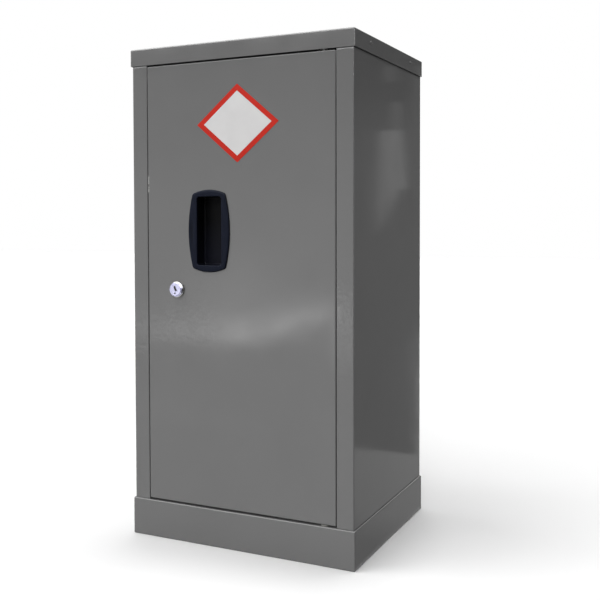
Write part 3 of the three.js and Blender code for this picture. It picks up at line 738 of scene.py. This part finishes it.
def make_side_panel(side):
    """A side panel: door jamb, stile, side and rear flange in one sheet."""
    half = right_high.x
    opening = right_low.x - JAMB_CLOSER[side]
    stop_front = door_high.y + RUN_GAP + BUFFER_THICKNESS + SEAT_GAP
    path = [
        (opening, stop_front),
        (opening, body_front),
        (half, body_front),
        (half, right_high.y),
        (half - REAR_FLANGE_WIDTH, right_high.y),
    ]
    if side < 0:
        path = [(opening - STOP_LEG_WIDTH, stop_front)] + path
        path = [(-x, y) for x, y in path][::-1]
    jamb_end = path.index((side * opening, body_front))
    radii = [JAMB_FOLD_RADIUS if i == jamb_end else FOLD_RADIUS for i in range(len(path))]
    outline = split_long_edges(folded_outline(path, radii), PANEL_CELL)
    name = "left_side_panel" if side < 0 else "right_side_panel"
    places = grid_lines(right_low.z, right_high.z, PANEL_CELL)
    panel = prism(name + "_sheet", outline, 2, places)
    for vertex in panel.data.vertices:
        if abs(vertex.co.x) > half - SHEET - TOLERANCE:
            vertex.co.x -= side * panel_wave(vertex.co.y, vertex.co.z, side)
    dress(smooth(panel), "root", "cabinet_paint", name)


def make_back():
    def wanted(axis, side, middle):
        return axis == 1 and side == 1

    back = folded_box("back_panel_sheet", back_low, back_high, wanted, PANEL_CELL, radius=0)
    dress(smooth(soften_edges(back)), "root", "cabinet_paint", "back_panel")


def make_rivet(side, place):
    name = f"cap_rivet_{side}_{place}"
    low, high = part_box(name)
    middle = (low + high) / 2
    out = 1 if side == "right" else -1
    tip = high.x if out > 0 else low.x
    seat = out * (cap_high.x + SEAT_GAP)
    tail = out * (right_high.x - SHEET - SEAT_GAP)
    dome = [(RIVET_HEAD_RADIUS * math.cos(a), seat + (tip - seat) * math.sin(a))
            for a in quarter_turn(RIVET_DOME_STEPS)[:-1]]
    profile = [
        (0, tail - out * RIVET_TAIL),
        (RIVET_TAIL_RADIUS, tail - out * RIVET_TAIL),
        (RIVET_TAIL_RADIUS, tail),
        (RIVET_RADIUS, tail),
        (RIVET_RADIUS, seat),
        *dome,
        (0, tip),
    ]
    rivet = turned(name + "_head", profile, middle, 0, SMALL_LATHE_SIDES)
    dress(smooth(rivet), "root", "cabinet_paint", name)


# Door
BOSS_PLACES = (pull_middle.x - BOSS_REACH, pull_middle.x + BOSS_REACH)


def make_door():
    lip = SHEET + DOOR_LIP
    inside = {a: (door_low[a] + lip, door_high[a] - lip) for a in (0, 2)}

    def wanted(axis, side, middle):
        if axis == 1 and side == 1:
            return not all(inside[a][0] < middle[a] < inside[a][1] for a in (0, 2))
        return True

    door = folded_box("door_sheet", door_low, door_high, wanted, DOOR_CELL,
                      [inside[0], (), inside[2]])
    wall = POCKET_WALL + RUN_GAP
    pocket = rounded_rectangle((pull_middle.z, pull_middle.x), POCKET_HEIGHT + 2 * wall,
                               POCKET_WIDTH + 2 * wall, POCKET_CORNER + wall)
    cut_away(door, prism("hole", pocket, 1, (door_low.y - OVERRUN, door_low.y + OVERRUN)))
    for x in BOSS_PLACES:
        drill(door, BOSS_RADIUS + RUN_GAP, (x, 0, pull_middle.z), 1, door_low.y)
    drill(door, BARREL_RADIUS + RUN_GAP, lock_middle, 1, door_low.y)
    for end in (door_low.z, door_high.z):
        drill(door, PIN_RADIUS + RUN_GAP, pivot, 2, end)
    for vertex in door.data.vertices:
        if vertex.co.y < door_low.y + SHEET + TOLERANCE:
            vertex.co.y += door_wave(vertex.co.x, vertex.co.z)
    dress(smooth(door), "door", "cabinet_paint", "door_skin")


def pull_outline():
    """The pull's barrel outline, point for point beside the pocket's rounded rectangle."""
    middle = Vector((-HANDLE_TRIM / 2, 0))
    x = (pull_high.x - pull_low.x - HANDLE_TRIM) / 2 - HANDLE_SIDE_BOW
    z = (pull_high.z - pull_low.z) / 2 - HANDLE_END_BOW
    corners = [Vector(p) for p in ((x, -z), (x, z), (-x, z), (-x, -z))]
    bows = [Vector(p) for p in (
        (x + 2 * HANDLE_SIDE_BOW, 0), (0, z + 2 * HANDLE_END_BOW),
        (-x - 2 * HANDLE_SIDE_BOW, 0), (0, -z - 2 * HANDLE_END_BOW))]

    def side(i, t):
        return curve(corners[i], bows[i], corners[(i + 1) % 4], t)

    def share(i):
        """How much of side i its rounded corner takes."""
        return HANDLE_CORNER / (corners[(i + 1) % 4] - corners[i]).length

    points = []
    for i in range(4):
        before = (i - 1) % 4
        start, end = side(before, 1 - share(before)), side(i, share(i))
        points += [middle + curve(start, corners[i], end, k / HANDLE_CORNER_STEPS)
                   for k in range(HANDLE_CORNER_STEPS + 1)]
        for k in range(1, HANDLE_SIDE_STEPS):
            t = share(i) + (1 - 2 * share(i)) * k / HANDLE_SIDE_STEPS
            points.append(middle + side(i, t))
    return points


def make_pull():
    """The moulded pull: a dished rim round a deep pocket, closed behind."""
    def rectangle(growth):
        return rounded_rectangle(
            (0, 0), POCKET_WIDTH + 2 * growth, POCKET_HEIGHT + 2 * growth, POCKET_CORNER + growth,
            HANDLE_CORNER_STEPS, HANDLE_SIDE_STEPS)

    outer = pull_outline()
    pocket = rectangle(0)
    shell = rectangle(POCKET_WALL)
    face = door_low.y

    def ring(outline, y, seated=False):
        points = []
        for p in outline:
            x, z = pull_middle.x + p.x, pull_middle.z + p.y
            points.append(Vector((x, y + (door_wave(x, z) if seated else 0), z)))
        return points

    def rim_ring(share, rise):
        """A ring of the rim, with the finger groove in its left side."""
        points = ring([o.lerp(p, share) for o, p in zip(outer, pocket)], face)
        for point in points:
            groove = 0
            if point.x < pull_middle.x - POCKET_WIDTH / 2:
                along = bump(point.z - pull_middle.z, -GROOVE_HALF_LENGTH, GROOVE_HALF_LENGTH)
                across = bump(share, GROOVE_FROM, GROOVE_TO)
                groove = GROOVE_DEPTH * math.sqrt(along * across)
            point.y -= (face - pull_low.y) * rise * (1 - groove)
        return points

    rings = [
        ring(shell, pull_high.y),
        ring(shell, face + SHEET),
        ring(shell, face + SEAT_GAP, seated=True),
        ring(outer, face - SEAT_GAP / 2, seated=True),
    ]
    rings += [rim_ring(share, rise) for share, rise in RIM]
    mouth = face + POCKET_EDGE
    foot = face + POCKET_DEPTH - POCKET_FILLET
    rings += [ring(pocket, mouth + (foot - mouth) * i / POCKET_WALL_STEPS)
              for i in range(POCKET_WALL_STEPS + 1)]
    rings += [ring(rectangle(-POCKET_FILLET * (1 - math.cos(a))), foot + POCKET_FILLET * math.sin(a))
              for a in quarter_turn(POCKET_FILLET_STEPS)[1:]]
    pull = skinned("pull_moulding", rings)
    dress(smooth(pull, HANDLE_SMOOTH_ANGLE), "door", "pull_plastic", "handle_pull")

    start, end = face - SEAT_GAP / 4, face + BOSS_LENGTH
    section = [(BOSS_BORE, start), (BOSS_RADIUS, start), (BOSS_RADIUS, end), (BOSS_BORE, end)]
    for side, x in zip(("left", "right"), BOSS_PLACES):
        boss = turned("pull_boss_" + side, section, (x, 0, pull_middle.z), 1, SMALL_LATHE_SIDES,
                      closed=True)
        dress(smooth(boss), "door", "pull_plastic", "handle_pull")


# Label
def diamond(width, height, corner):
    """A diamond outline in Z and X round the label's middle, with its corners just rounded."""
    tips = [Vector((-height / 2, 0)), Vector((0, width / 2)),
            Vector((height / 2, 0)), Vector((0, -width / 2))]
    middle = Vector((label_middle.z, label_middle.x))
    points = []
    for i, tip in enumerate(tips):
        start = tip + (tips[i - 1] - tip).normalized() * corner
        end = tip + (tips[(i + 1) % 4] - tip).normalized() * corner
        points += [middle + curve(start, tip, end, k / LABEL_CORNER_STEPS)
                   for k in range(LABEL_CORNER_STEPS + 1)]
    return points


def laid_on_door(obj):
    """Lets a thin sheet follow the door's face."""
    for vertex in obj.data.vertices:
        vertex.co.y += door_wave(vertex.co.x, vertex.co.z)
    return obj


def make_label():
    width = border_high.x - border_low.x
    height = border_high.z - border_low.z
    slope = math.hypot(width, height)
    span = (border_low.y, border_high.y)

    def inset(distance):
        return width - 2 * distance * slope / height, height - 2 * distance * slope / width

    inner_corner = LABEL_CORNER / 3
    whole = split_long_edges(diamond(width, height, LABEL_CORNER), PANEL_CELL)
    border = prism("label_border_print", whole, 1, span)
    hole = diamond(*inset(LABEL_BORDER), inner_corner)
    cut_away(border, prism("hole", hole, 1, (span[0] - OVERRUN, span[1] + OVERRUN)))
    inner = diamond(*inset(LABEL_BORDER + CUT_EDGE / 4), inner_corner)
    field = prism("label_field_print", split_long_edges(inner, PANEL_CELL), 1, span)
    dress(smooth(laid_on_door(border)), "door", "red_vinyl", "label_border")
    dress(smooth(laid_on_door(field)), "door", "pale_vinyl", "label_field")


# Lock
def make_housing():
    """The lock's housing: a collar on the door with a bezel round the plug's head."""
    collar = barrel_high.x - lock_middle.x
    bore = (plug_high.x - plug_low.x) / 2 + RUN_GAP
    front = barrel_low.y
    collar_front = body_front - COLLAR_THICKNESS
    recess = plug_low.y + PLUG_HEAD_THICKNESS + RUN_GAP
    seat = body_front - SEAT_GAP
    collar_arc = [
        (collar - COLLAR_EDGE * (1 - math.cos(a)), collar_front + COLLAR_EDGE * (1 - math.sin(a)))
        for a in quarter_turn(COLLAR_EDGE_STEPS)
    ]
    profile = [
        (PLUG_RADIUS + RUN_GAP, barrel_high.y),
        (BARREL_RADIUS, barrel_high.y),
        (BARREL_RADIUS, seat),
        (collar, seat),
        *collar_arc,
        (BEZEL_RADIUS + BEZEL_FOOT, collar_front),
        (BEZEL_RADIUS, collar_front - BEZEL_FOOT),
        (BEZEL_RADIUS, front + BEZEL_CHAMFER),
        (BEZEL_RADIUS - BEZEL_CHAMFER, front),
        (bore + BORE_CHAMFER, front),
        (bore, front + BORE_CHAMFER),
        (bore, recess),
        (PLUG_RADIUS + RUN_GAP, recess),
    ]
    housing = turned("lock_housing", profile, lock_middle, 1, closed=True)
    dress(smooth(housing), "door", "lock_chrome", "lock_barrel")


def upright_rectangle(height, width):
    """A rectangle's outline in Z and X round the origin."""
    z, x = height / 2, width / 2
    return [(-z, -x), (-z, x), (z, x), (z, -x)]


def make_plug():
    """The lock's plug with its keyway, mark, square and stud, with dark pieces that are painted shade
    in the keyway and in the mark.
    """
    face = plug_low.y
    head = (plug_high.x - plug_low.x) / 2
    head_back = face + PLUG_HEAD_THICKNESS
    barrel_back = barrel_high.y
    cam_back = barrel_back + RUN_GAP + CAM_THICKNESS
    head_arc = [(head - PLUG_EDGE * (1 - math.sin(a)), face + PLUG_EDGE * (1 - math.cos(a)))
                for a in quarter_turn(PLUG_EDGE_STEPS)]
    body = turned("lock_plug_face", [
        (0, face),
        (head * PLUG_FACE_RING, face),
        *head_arc,
        (head, head_back),
        (PLUG_RADIUS, head_back),
        (PLUG_RADIUS, barrel_back),
        (0, barrel_back),
    ], lock_middle, 1)
    slit = prism("hole", upright_rectangle(KEYWAY_HEIGHT, KEYWAY_WIDTH), 1, (-OVERRUN, KEYWAY_DEPTH))
    # A dark leaf just inside the keyway, which is painted shade standing in for the keyway's depth
    keyway_shade_outline = upright_rectangle(KEYWAY_HEIGHT - 2 * CUT_EDGE, KEYWAY_WIDTH - 2 * CUT_EDGE)
    keyway_shade_leaf = prism("lock_keyway_shade", keyway_shade_outline, 1, (KEYWAY_SHADE_DEPTH, 2 * KEYWAY_SHADE_DEPTH))
    for piece in (slit, keyway_shade_leaf):
        piece.data.transform(Matrix.Rotation(-KEYWAY_TILT, 4, "Y"))
        piece.data.transform(Matrix.Translation((lock_middle.x, face, lock_middle.z + KEYWAY_RISE)))
    cut_away(body, slit)
    dress(keyway_shade_leaf, "lock", "buffer_rubber", "lock_plug")
    mark = (lock_middle.x - MARK_ASIDE, 0, lock_middle.z - MARK_DROP)
    hole = rod("hole", MARK_RADIUS, mark, 1, (face - OVERRUN, face + MARK_DEPTH), MARK_SIDES)
    cut_away(body, hole)
    # A dark disc at the foot of the mark's shallow hole, which is painted shade
    span = (face + MARK_DEPTH / 4, face + MARK_DEPTH - CUT_EDGE / 4)
    mark_shade_disc = rod("lock_mark", MARK_RADIUS - CUT_EDGE / 2, mark, 1, span, MARK_SIDES)
    dress(mark_shade_disc, "lock", "buffer_rubber", "lock_plug")
    dress(smooth(body), "lock", "lock_chrome", "lock_plug")

    square = [(lock_middle.z + z, lock_middle.x + x)
              for z, x in upright_rectangle(CAM_SQUARE, CAM_SQUARE)]
    tail = prism("lock_plug_square", square, 1, (barrel_back, cam_back))
    dress(smooth(tail), "lock", "zinc_steel", "lock_plug")
    stud = turned("lock_plug_stud", [
        (0, cam_back),
        (STUD_RADIUS, cam_back),
        (STUD_RADIUS, cam_back + STUD_LENGTH - STUD_CHAMFER),
        (STUD_RADIUS - STUD_CHAMFER, plug_high.y),
        (0, plug_high.y),
    ], lock_middle, 1, SMALL_LATHE_SIDES)
    dress(smooth(stud), "lock", "zinc_steel", "lock_plug")


# The frame's own pieces that stay in sight
def dress_frame_nodes():
    slot_of = {part["node"]: part["material_slot"] for part in frame["record"]["subparts"]}
    for name, obj in frame["nodes"].items():
        if obj.hide_render:
            continue
        slots = obj.data.materials
        if not len(slots):
            slots.append(None)
        for i in range(len(slots)):
            slots[i] = materials[slot_of[name]]


make_cap()
make_plinth()
make_side_panel(-1)
make_side_panel(1)
make_back()
for rivet in RIVETS:
    make_rivet(*rivet)
make_door()
make_pull()
make_label()
make_housing()
make_plug()
dress_frame_nodes()


# Studio
WHITE_KINDS = ("Is Camera Ray", "Is Glossy Ray", "Is Transmission Ray")
AMBIENT = 0.04
FLOOR_COLOUR = 0.15
FLOOR_SEEN_COLOUR = 0.94
FLOOR_GLOW = 0.01
FLOOR_HALF_SIZE = 12

# Lamps: where each stands as seen from the cabinet, its strength and its width in degrees
LAMPS = {
    "key": ((-0.39, -0.78, 0.49), 2.27, 83),
    "fill": ((0.34, -0.88, 0.34), 0.94, 23),
    "overhead": ((-0.02, 0.12, 0.99), 1.05, 12),
    "overhead_left": ((-0.34, -0.09, 0.94), 0.72, 26),
    "rear_right": ((0.73, 0.53, 0.43), 0.84, 56),
}

# The dark end of the room, which the right side mirrors above the floor: height, where it starts
# beside the cabinet, and brightness. It starts farther right low down, and through that opening the
# ledge over the plinth mirrors a light place farther off.
DARK_END_Y = 0.6
DARK_END_FAR_X = 4
DARK_END_LEVELS = (
    (0, 0.333, 0.17), (0.5, 0.333, 0.195), (0.52, 0.24, 0.195), (0.8, 0.24, 0.15),
    (0.95, 0.24, 0.08), (1.2, 0.24, 0.07))
FAR_END_Y = 3
FAR_END_X = (0.15, 1.6)
FAR_END_LEVELS = ((0, 0.16), (1.04, 0.16), (1.06, 2.1), (2.1, 2.1))

# The part of the floor that the right side mirrors: its brightness from the front to the far end
SIDE_FLOOR_X = (0.225, 3)
SIDE_FLOOR_Z = 0.001
SIDE_FLOOR_LEVELS = ((-0.4, 0.22), (-0.05, 0.24), (0.12, 0.38), (0.6, 0.44))

# Pale shapes on the dark end: corners as (across, up) and brightness
DARK_END_SHAPES = (
    (((0.372, 0.66), (0.440, 0.66), (0.438, 0.805), (0.382, 0.805)), 0.465),
    (((0.423, 0.584), (0.441, 0.544), (0.440, 0.66), (0.387, 0.66)), 0.45),
    (((0.382, 0.807), (0.410, 0.807), (0.410, 0.873), (0.385, 0.873)), 0.27),
    (((0.397, 0.925), (0.428, 0.925), (0.428, 0.965), (0.400, 0.965)), 0.22),
    (((0.338, 0.30), (0.352, 0.30), (0.352, 0.96), (0.338, 0.96)), 0.20),
)

# The room in front, which the door mirrors: its brightness by height
FRONT_END_Y = -2
FRONT_END_X = (-5, 4)
FRONT_END_LEVELS = (
    (0, 0.85), (0.3, 1.15), (0.6, 1.1), (0.9, 0.75), (1.13, 0.5), (1.25, 0.2), (1.33, 0.3),
    (1.42, 5.5), (4, 5.5))
CEILING_Y = 1.5
CEILING_LEVEL = 5.5

# A dark corner at the right, low in front, that only round and bevelled things mirror
DARK_CORNER_NEAR = (0.30, -0.24)
DARK_CORNER_FAR = (0.5, -1.95)
DARK_CORNER_END_X = 3
DARK_CORNER_TOP = 0.8
DARK_CORNER_LEVEL = 0.08

# A long low window in the front end of the room: place across, lower edge, upper edge, brightness
WINDOW = ((-1.45, 0.10, 0.13, 4.6), (-1.29, 0.105, 0.16, 4.8), (-1.10, 0.10, 0.20, 5.5),
          (-0.90, 0.102, 0.26, 5.5), (-0.72, 0.155, 0.285, 6.2), (-0.55, 0.225, 0.295, 7.0))
WINDOW_TOP_LEVEL = 1.1

# Soft glows beside the window: places across, heights and the brightness at each. DIM is the
# brightness of their rims.
DIM = 1.12
GLOWS = {
    "window_glow": (
        (-1.35, -1.15, -0.95, -0.80, -0.68), (0.14, 0.26, 0.38, 0.52),
        ((DIM, 1.5, 1.9, 1.5, DIM), (DIM, 1.6, 2.1, 1.5, DIM), (DIM, 1.4, 1.7, 1.3, DIM), (DIM,) * 5)),
    "stile_glow": (
        (-0.555, -0.535, -0.45), (0.02, 0.06, 0.26, 0.32),
        ((DIM,) * 3, (DIM, 2.3, 2.3), (DIM, 2.3, 2.3), (DIM,) * 3)),
    "left_stile_glow": (
        (-1.47, -1.46, -1.40, -1.39), (0.08, 0.095, 0.185, 0.20),
        ((DIM,) * 4, (DIM, 2.8, 2.8, DIM), (DIM, 2.8, 2.8, DIM), (DIM,) * 4)),
}

# A faint gleam on the floor in front: the line along it, and the brightness at each side of it
FLOOR_GLEAM = ((-0.90, -1.22), (-0.80, -1.19), (-0.43, -1.08), (-0.33, -1.05))
FLOOR_GLEAM_LEVELS = ((-0.14, 1.05), (0, 1.3), (0.14, 1.05))

# How far a card stands in front of the one behind it
CARD_STEP = 0.01


def seen_directly(tree):
    """1 for rays that see the background itself, 0 for those that carry light from it."""
    path = tree.nodes.new("ShaderNodeLightPath")
    total = path.outputs[WHITE_KINDS[0]]
    for kind in WHITE_KINDS[1:]:
        total = maths(tree, "MAXIMUM", total, path.outputs[kind])
    return total


def bare_material(obj, name):
    """Gives an object a new material with nothing but its output, and returns its node tree."""
    material = bpy.data.materials.new(name)
    material.use_nodes = True
    tree = material.node_tree
    tree.nodes.remove(tree.nodes["Principled BSDF"])
    obj.data.materials.append(material)
    return tree


def make_world():
    world = bpy.data.worlds.new("studio")
    world.use_nodes = True
    tree = world.node_tree
    background = tree.nodes["Background"]
    background.inputs["Color"].default_value = (1, 1, 1, 1)
    strength = ranged(tree, seen_directly(tree), AMBIENT, 1)
    tree.links.new(strength, background.inputs["Strength"])
    bpy.context.scene.world = world


def make_floor():
    bm = bmesh.new()
    bmesh.ops.create_grid(bm, x_segments=1, y_segments=1, size=FLOOR_HALF_SIZE)
    floor = make_object("floor", bm)
    tree = bare_material(floor, "floor_paper")
    diffuse = tree.nodes.new("ShaderNodeBsdfDiffuse")
    glow = tree.nodes.new("ShaderNodeEmission")
    seen = seen_directly(tree)
    tree.links.new(ranged(tree, seen, FLOOR_COLOUR, FLOOR_SEEN_COLOUR), diffuse.inputs["Color"])
    tree.links.new(ranged(tree, seen, 0, FLOOR_GLOW), glow.inputs["Strength"])
    both = tree.nodes.new("ShaderNodeAddShader")
    tree.links.new(diffuse.outputs[0], both.inputs[0])
    tree.links.new(glow.outputs[0], both.inputs[1])
    tree.links.new(both.outputs[0], tree.nodes["Material Output"].inputs["Surface"])


def make_card(name, rows):
    """A glowing card that only reflections show. Each row is a list of (corner, brightness)."""
    bm = bmesh.new()
    glow = bm.verts.layers.float.new("glow")
    skins = []
    for row in rows:
        skin = []
        for corner, level in row:
            vertex = bm.verts.new(corner)
            vertex[glow] = level
            skin.append(vertex)
        skins.append(skin)
    for lower, upper in zip(skins, skins[1:]):
        for i in range(len(lower) - 1):
            bm.faces.new((lower[i], lower[i + 1], upper[i + 1], upper[i]))
    card = make_object(name, bm)
    tree = bare_material(card, name)
    emission = tree.nodes.new("ShaderNodeEmission")
    level = tree.nodes.new("ShaderNodeAttribute")
    level.attribute_name = "glow"
    path = tree.nodes.new("ShaderNodeLightPath")
    mirrored = maths(tree, "LESS_THAN", path.outputs["Diffuse Depth"], 0.5)
    strength = maths(tree, "MULTIPLY", level.outputs["Fac"], mirrored)
    tree.links.new(strength, emission.inputs["Strength"])
    tree.links.new(emission.outputs[0], tree.nodes["Material Output"].inputs["Surface"])
    card.visible_camera = False
    card.visible_diffuse = False
    card.visible_shadow = False
    card.visible_transmission = False


def upright_rows(y, sides, levels):
    """The rows of a card across the room, from its two sides and its brightness by height."""
    return [[((x, y, z), level) for x in sides] for z, level in levels]


def make_room():
    """The ends of the room, as the glossy paint mirrors them."""
    make_card("dark_end", [
        [((x, DARK_END_Y, z), level) for x in (start, DARK_END_FAR_X)]
        for z, start, level in DARK_END_LEVELS])
    make_card("far_end", upright_rows(FAR_END_Y, FAR_END_X, FAR_END_LEVELS))
    for number, (corners, level) in enumerate(DARK_END_SHAPES):
        a, b, c, d = [((x, DARK_END_Y - CARD_STEP, z), level) for x, z in corners]
        make_card(f"dark_end_shape_{number}", [[a, b], [d, c]])
    make_card("side_floor", [
        [((x, y, SIDE_FLOOR_Z), level) for x in SIDE_FLOOR_X] for y, level in SIDE_FLOOR_LEVELS])
    make_card("front_end", upright_rows(FRONT_END_Y, FRONT_END_X, FRONT_END_LEVELS))
    top = FRONT_END_LEVELS[-1][0]
    make_card("ceiling", [
        [((x, y, top), CEILING_LEVEL) for x in FRONT_END_X] for y in (FRONT_END_Y, CEILING_Y)])
    make_card("dark_corner", [
        [((x, start[1], z), DARK_CORNER_LEVEL) for x in (start[0], DARK_CORNER_END_X)]
        for start, z in ((DARK_CORNER_FAR, DARK_CORNER_TOP), (DARK_CORNER_FAR, SIDE_FLOOR_Z),
                         (DARK_CORNER_NEAR, SIDE_FLOOR_Z))])
    make_card("floor_gleam", [
        [((x, y + aside, SIDE_FLOOR_Z), level) for x, y in FLOOR_GLEAM]
        for aside, level in FLOOR_GLEAM_LEVELS])
    for name, (places, heights, levels) in GLOWS.items():
        make_card(name, [
            [((x, FRONT_END_Y + CARD_STEP / 2, z), level) for x, level in zip(places, row)]
            for z, row in zip(heights, levels)])
    nearer = FRONT_END_Y + CARD_STEP
    make_card("front_window", [
        [((x, nearer, low), level) for x, low, high, level in WINDOW],
        [((x, nearer, high), WINDOW_TOP_LEVEL) for x, low, high, level in WINDOW]])


def make_lamp(name, towards, strength, softness):
    """A large soft lamp without fall-off, shining from a direction towards the cabinet."""
    data = bpy.data.lights.new(name, "SUN")
    data.energy = strength
    data.angle = math.radians(softness)
    lamp = bpy.data.objects.new(name, data)
    lamp.rotation_euler = Vector(towards).to_track_quat("Z", "Y").to_euler()
    lamp.visible_glossy = False
    bpy.context.scene.collection.objects.link(lamp)


make_world()
make_floor()
make_room()
for lamp_name, settings in LAMPS.items():
    make_lamp(lamp_name + "_lamp", *settings)

# Camera at the photograph's angle
CAMERA_PLACE = Vector((0.7539, -1.6170, 0.5869))
CAMERA_YAW = math.radians(-27.275)
CAMERA_PITCH = math.radians(-1.899)
CAMERA_ROLL = math.radians(-0.248)
CAMERA_LENS = 55.44
CAMERA_SENSOR = 36
CAMERA_SHIFT_X = 0.0917
CAMERA_SHIFT_Y = -0.0833


def make_camera():
    data = bpy.data.cameras.new("camera")
    data.lens = CAMERA_LENS
    data.sensor_width = CAMERA_SENSOR
    data.shift_x = CAMERA_SHIFT_X
    data.shift_y = CAMERA_SHIFT_Y
    data.dof.use_dof = False
    camera = bpy.data.objects.new("camera", data)
    camera.matrix_world = (Matrix.Translation(CAMERA_PLACE)
                           @ Matrix.Rotation(-CAMERA_YAW, 4, "Z")
                           @ Matrix.Rotation(math.pi / 2 + CAMERA_PITCH, 4, "X")
                           @ Matrix.Rotation(CAMERA_ROLL, 4, "Z"))
    bpy.context.scene.collection.objects.link(camera)
    bpy.context.scene.camera = camera


make_camera()
bpy.context.scene.view_settings.view_transform = "Standard"
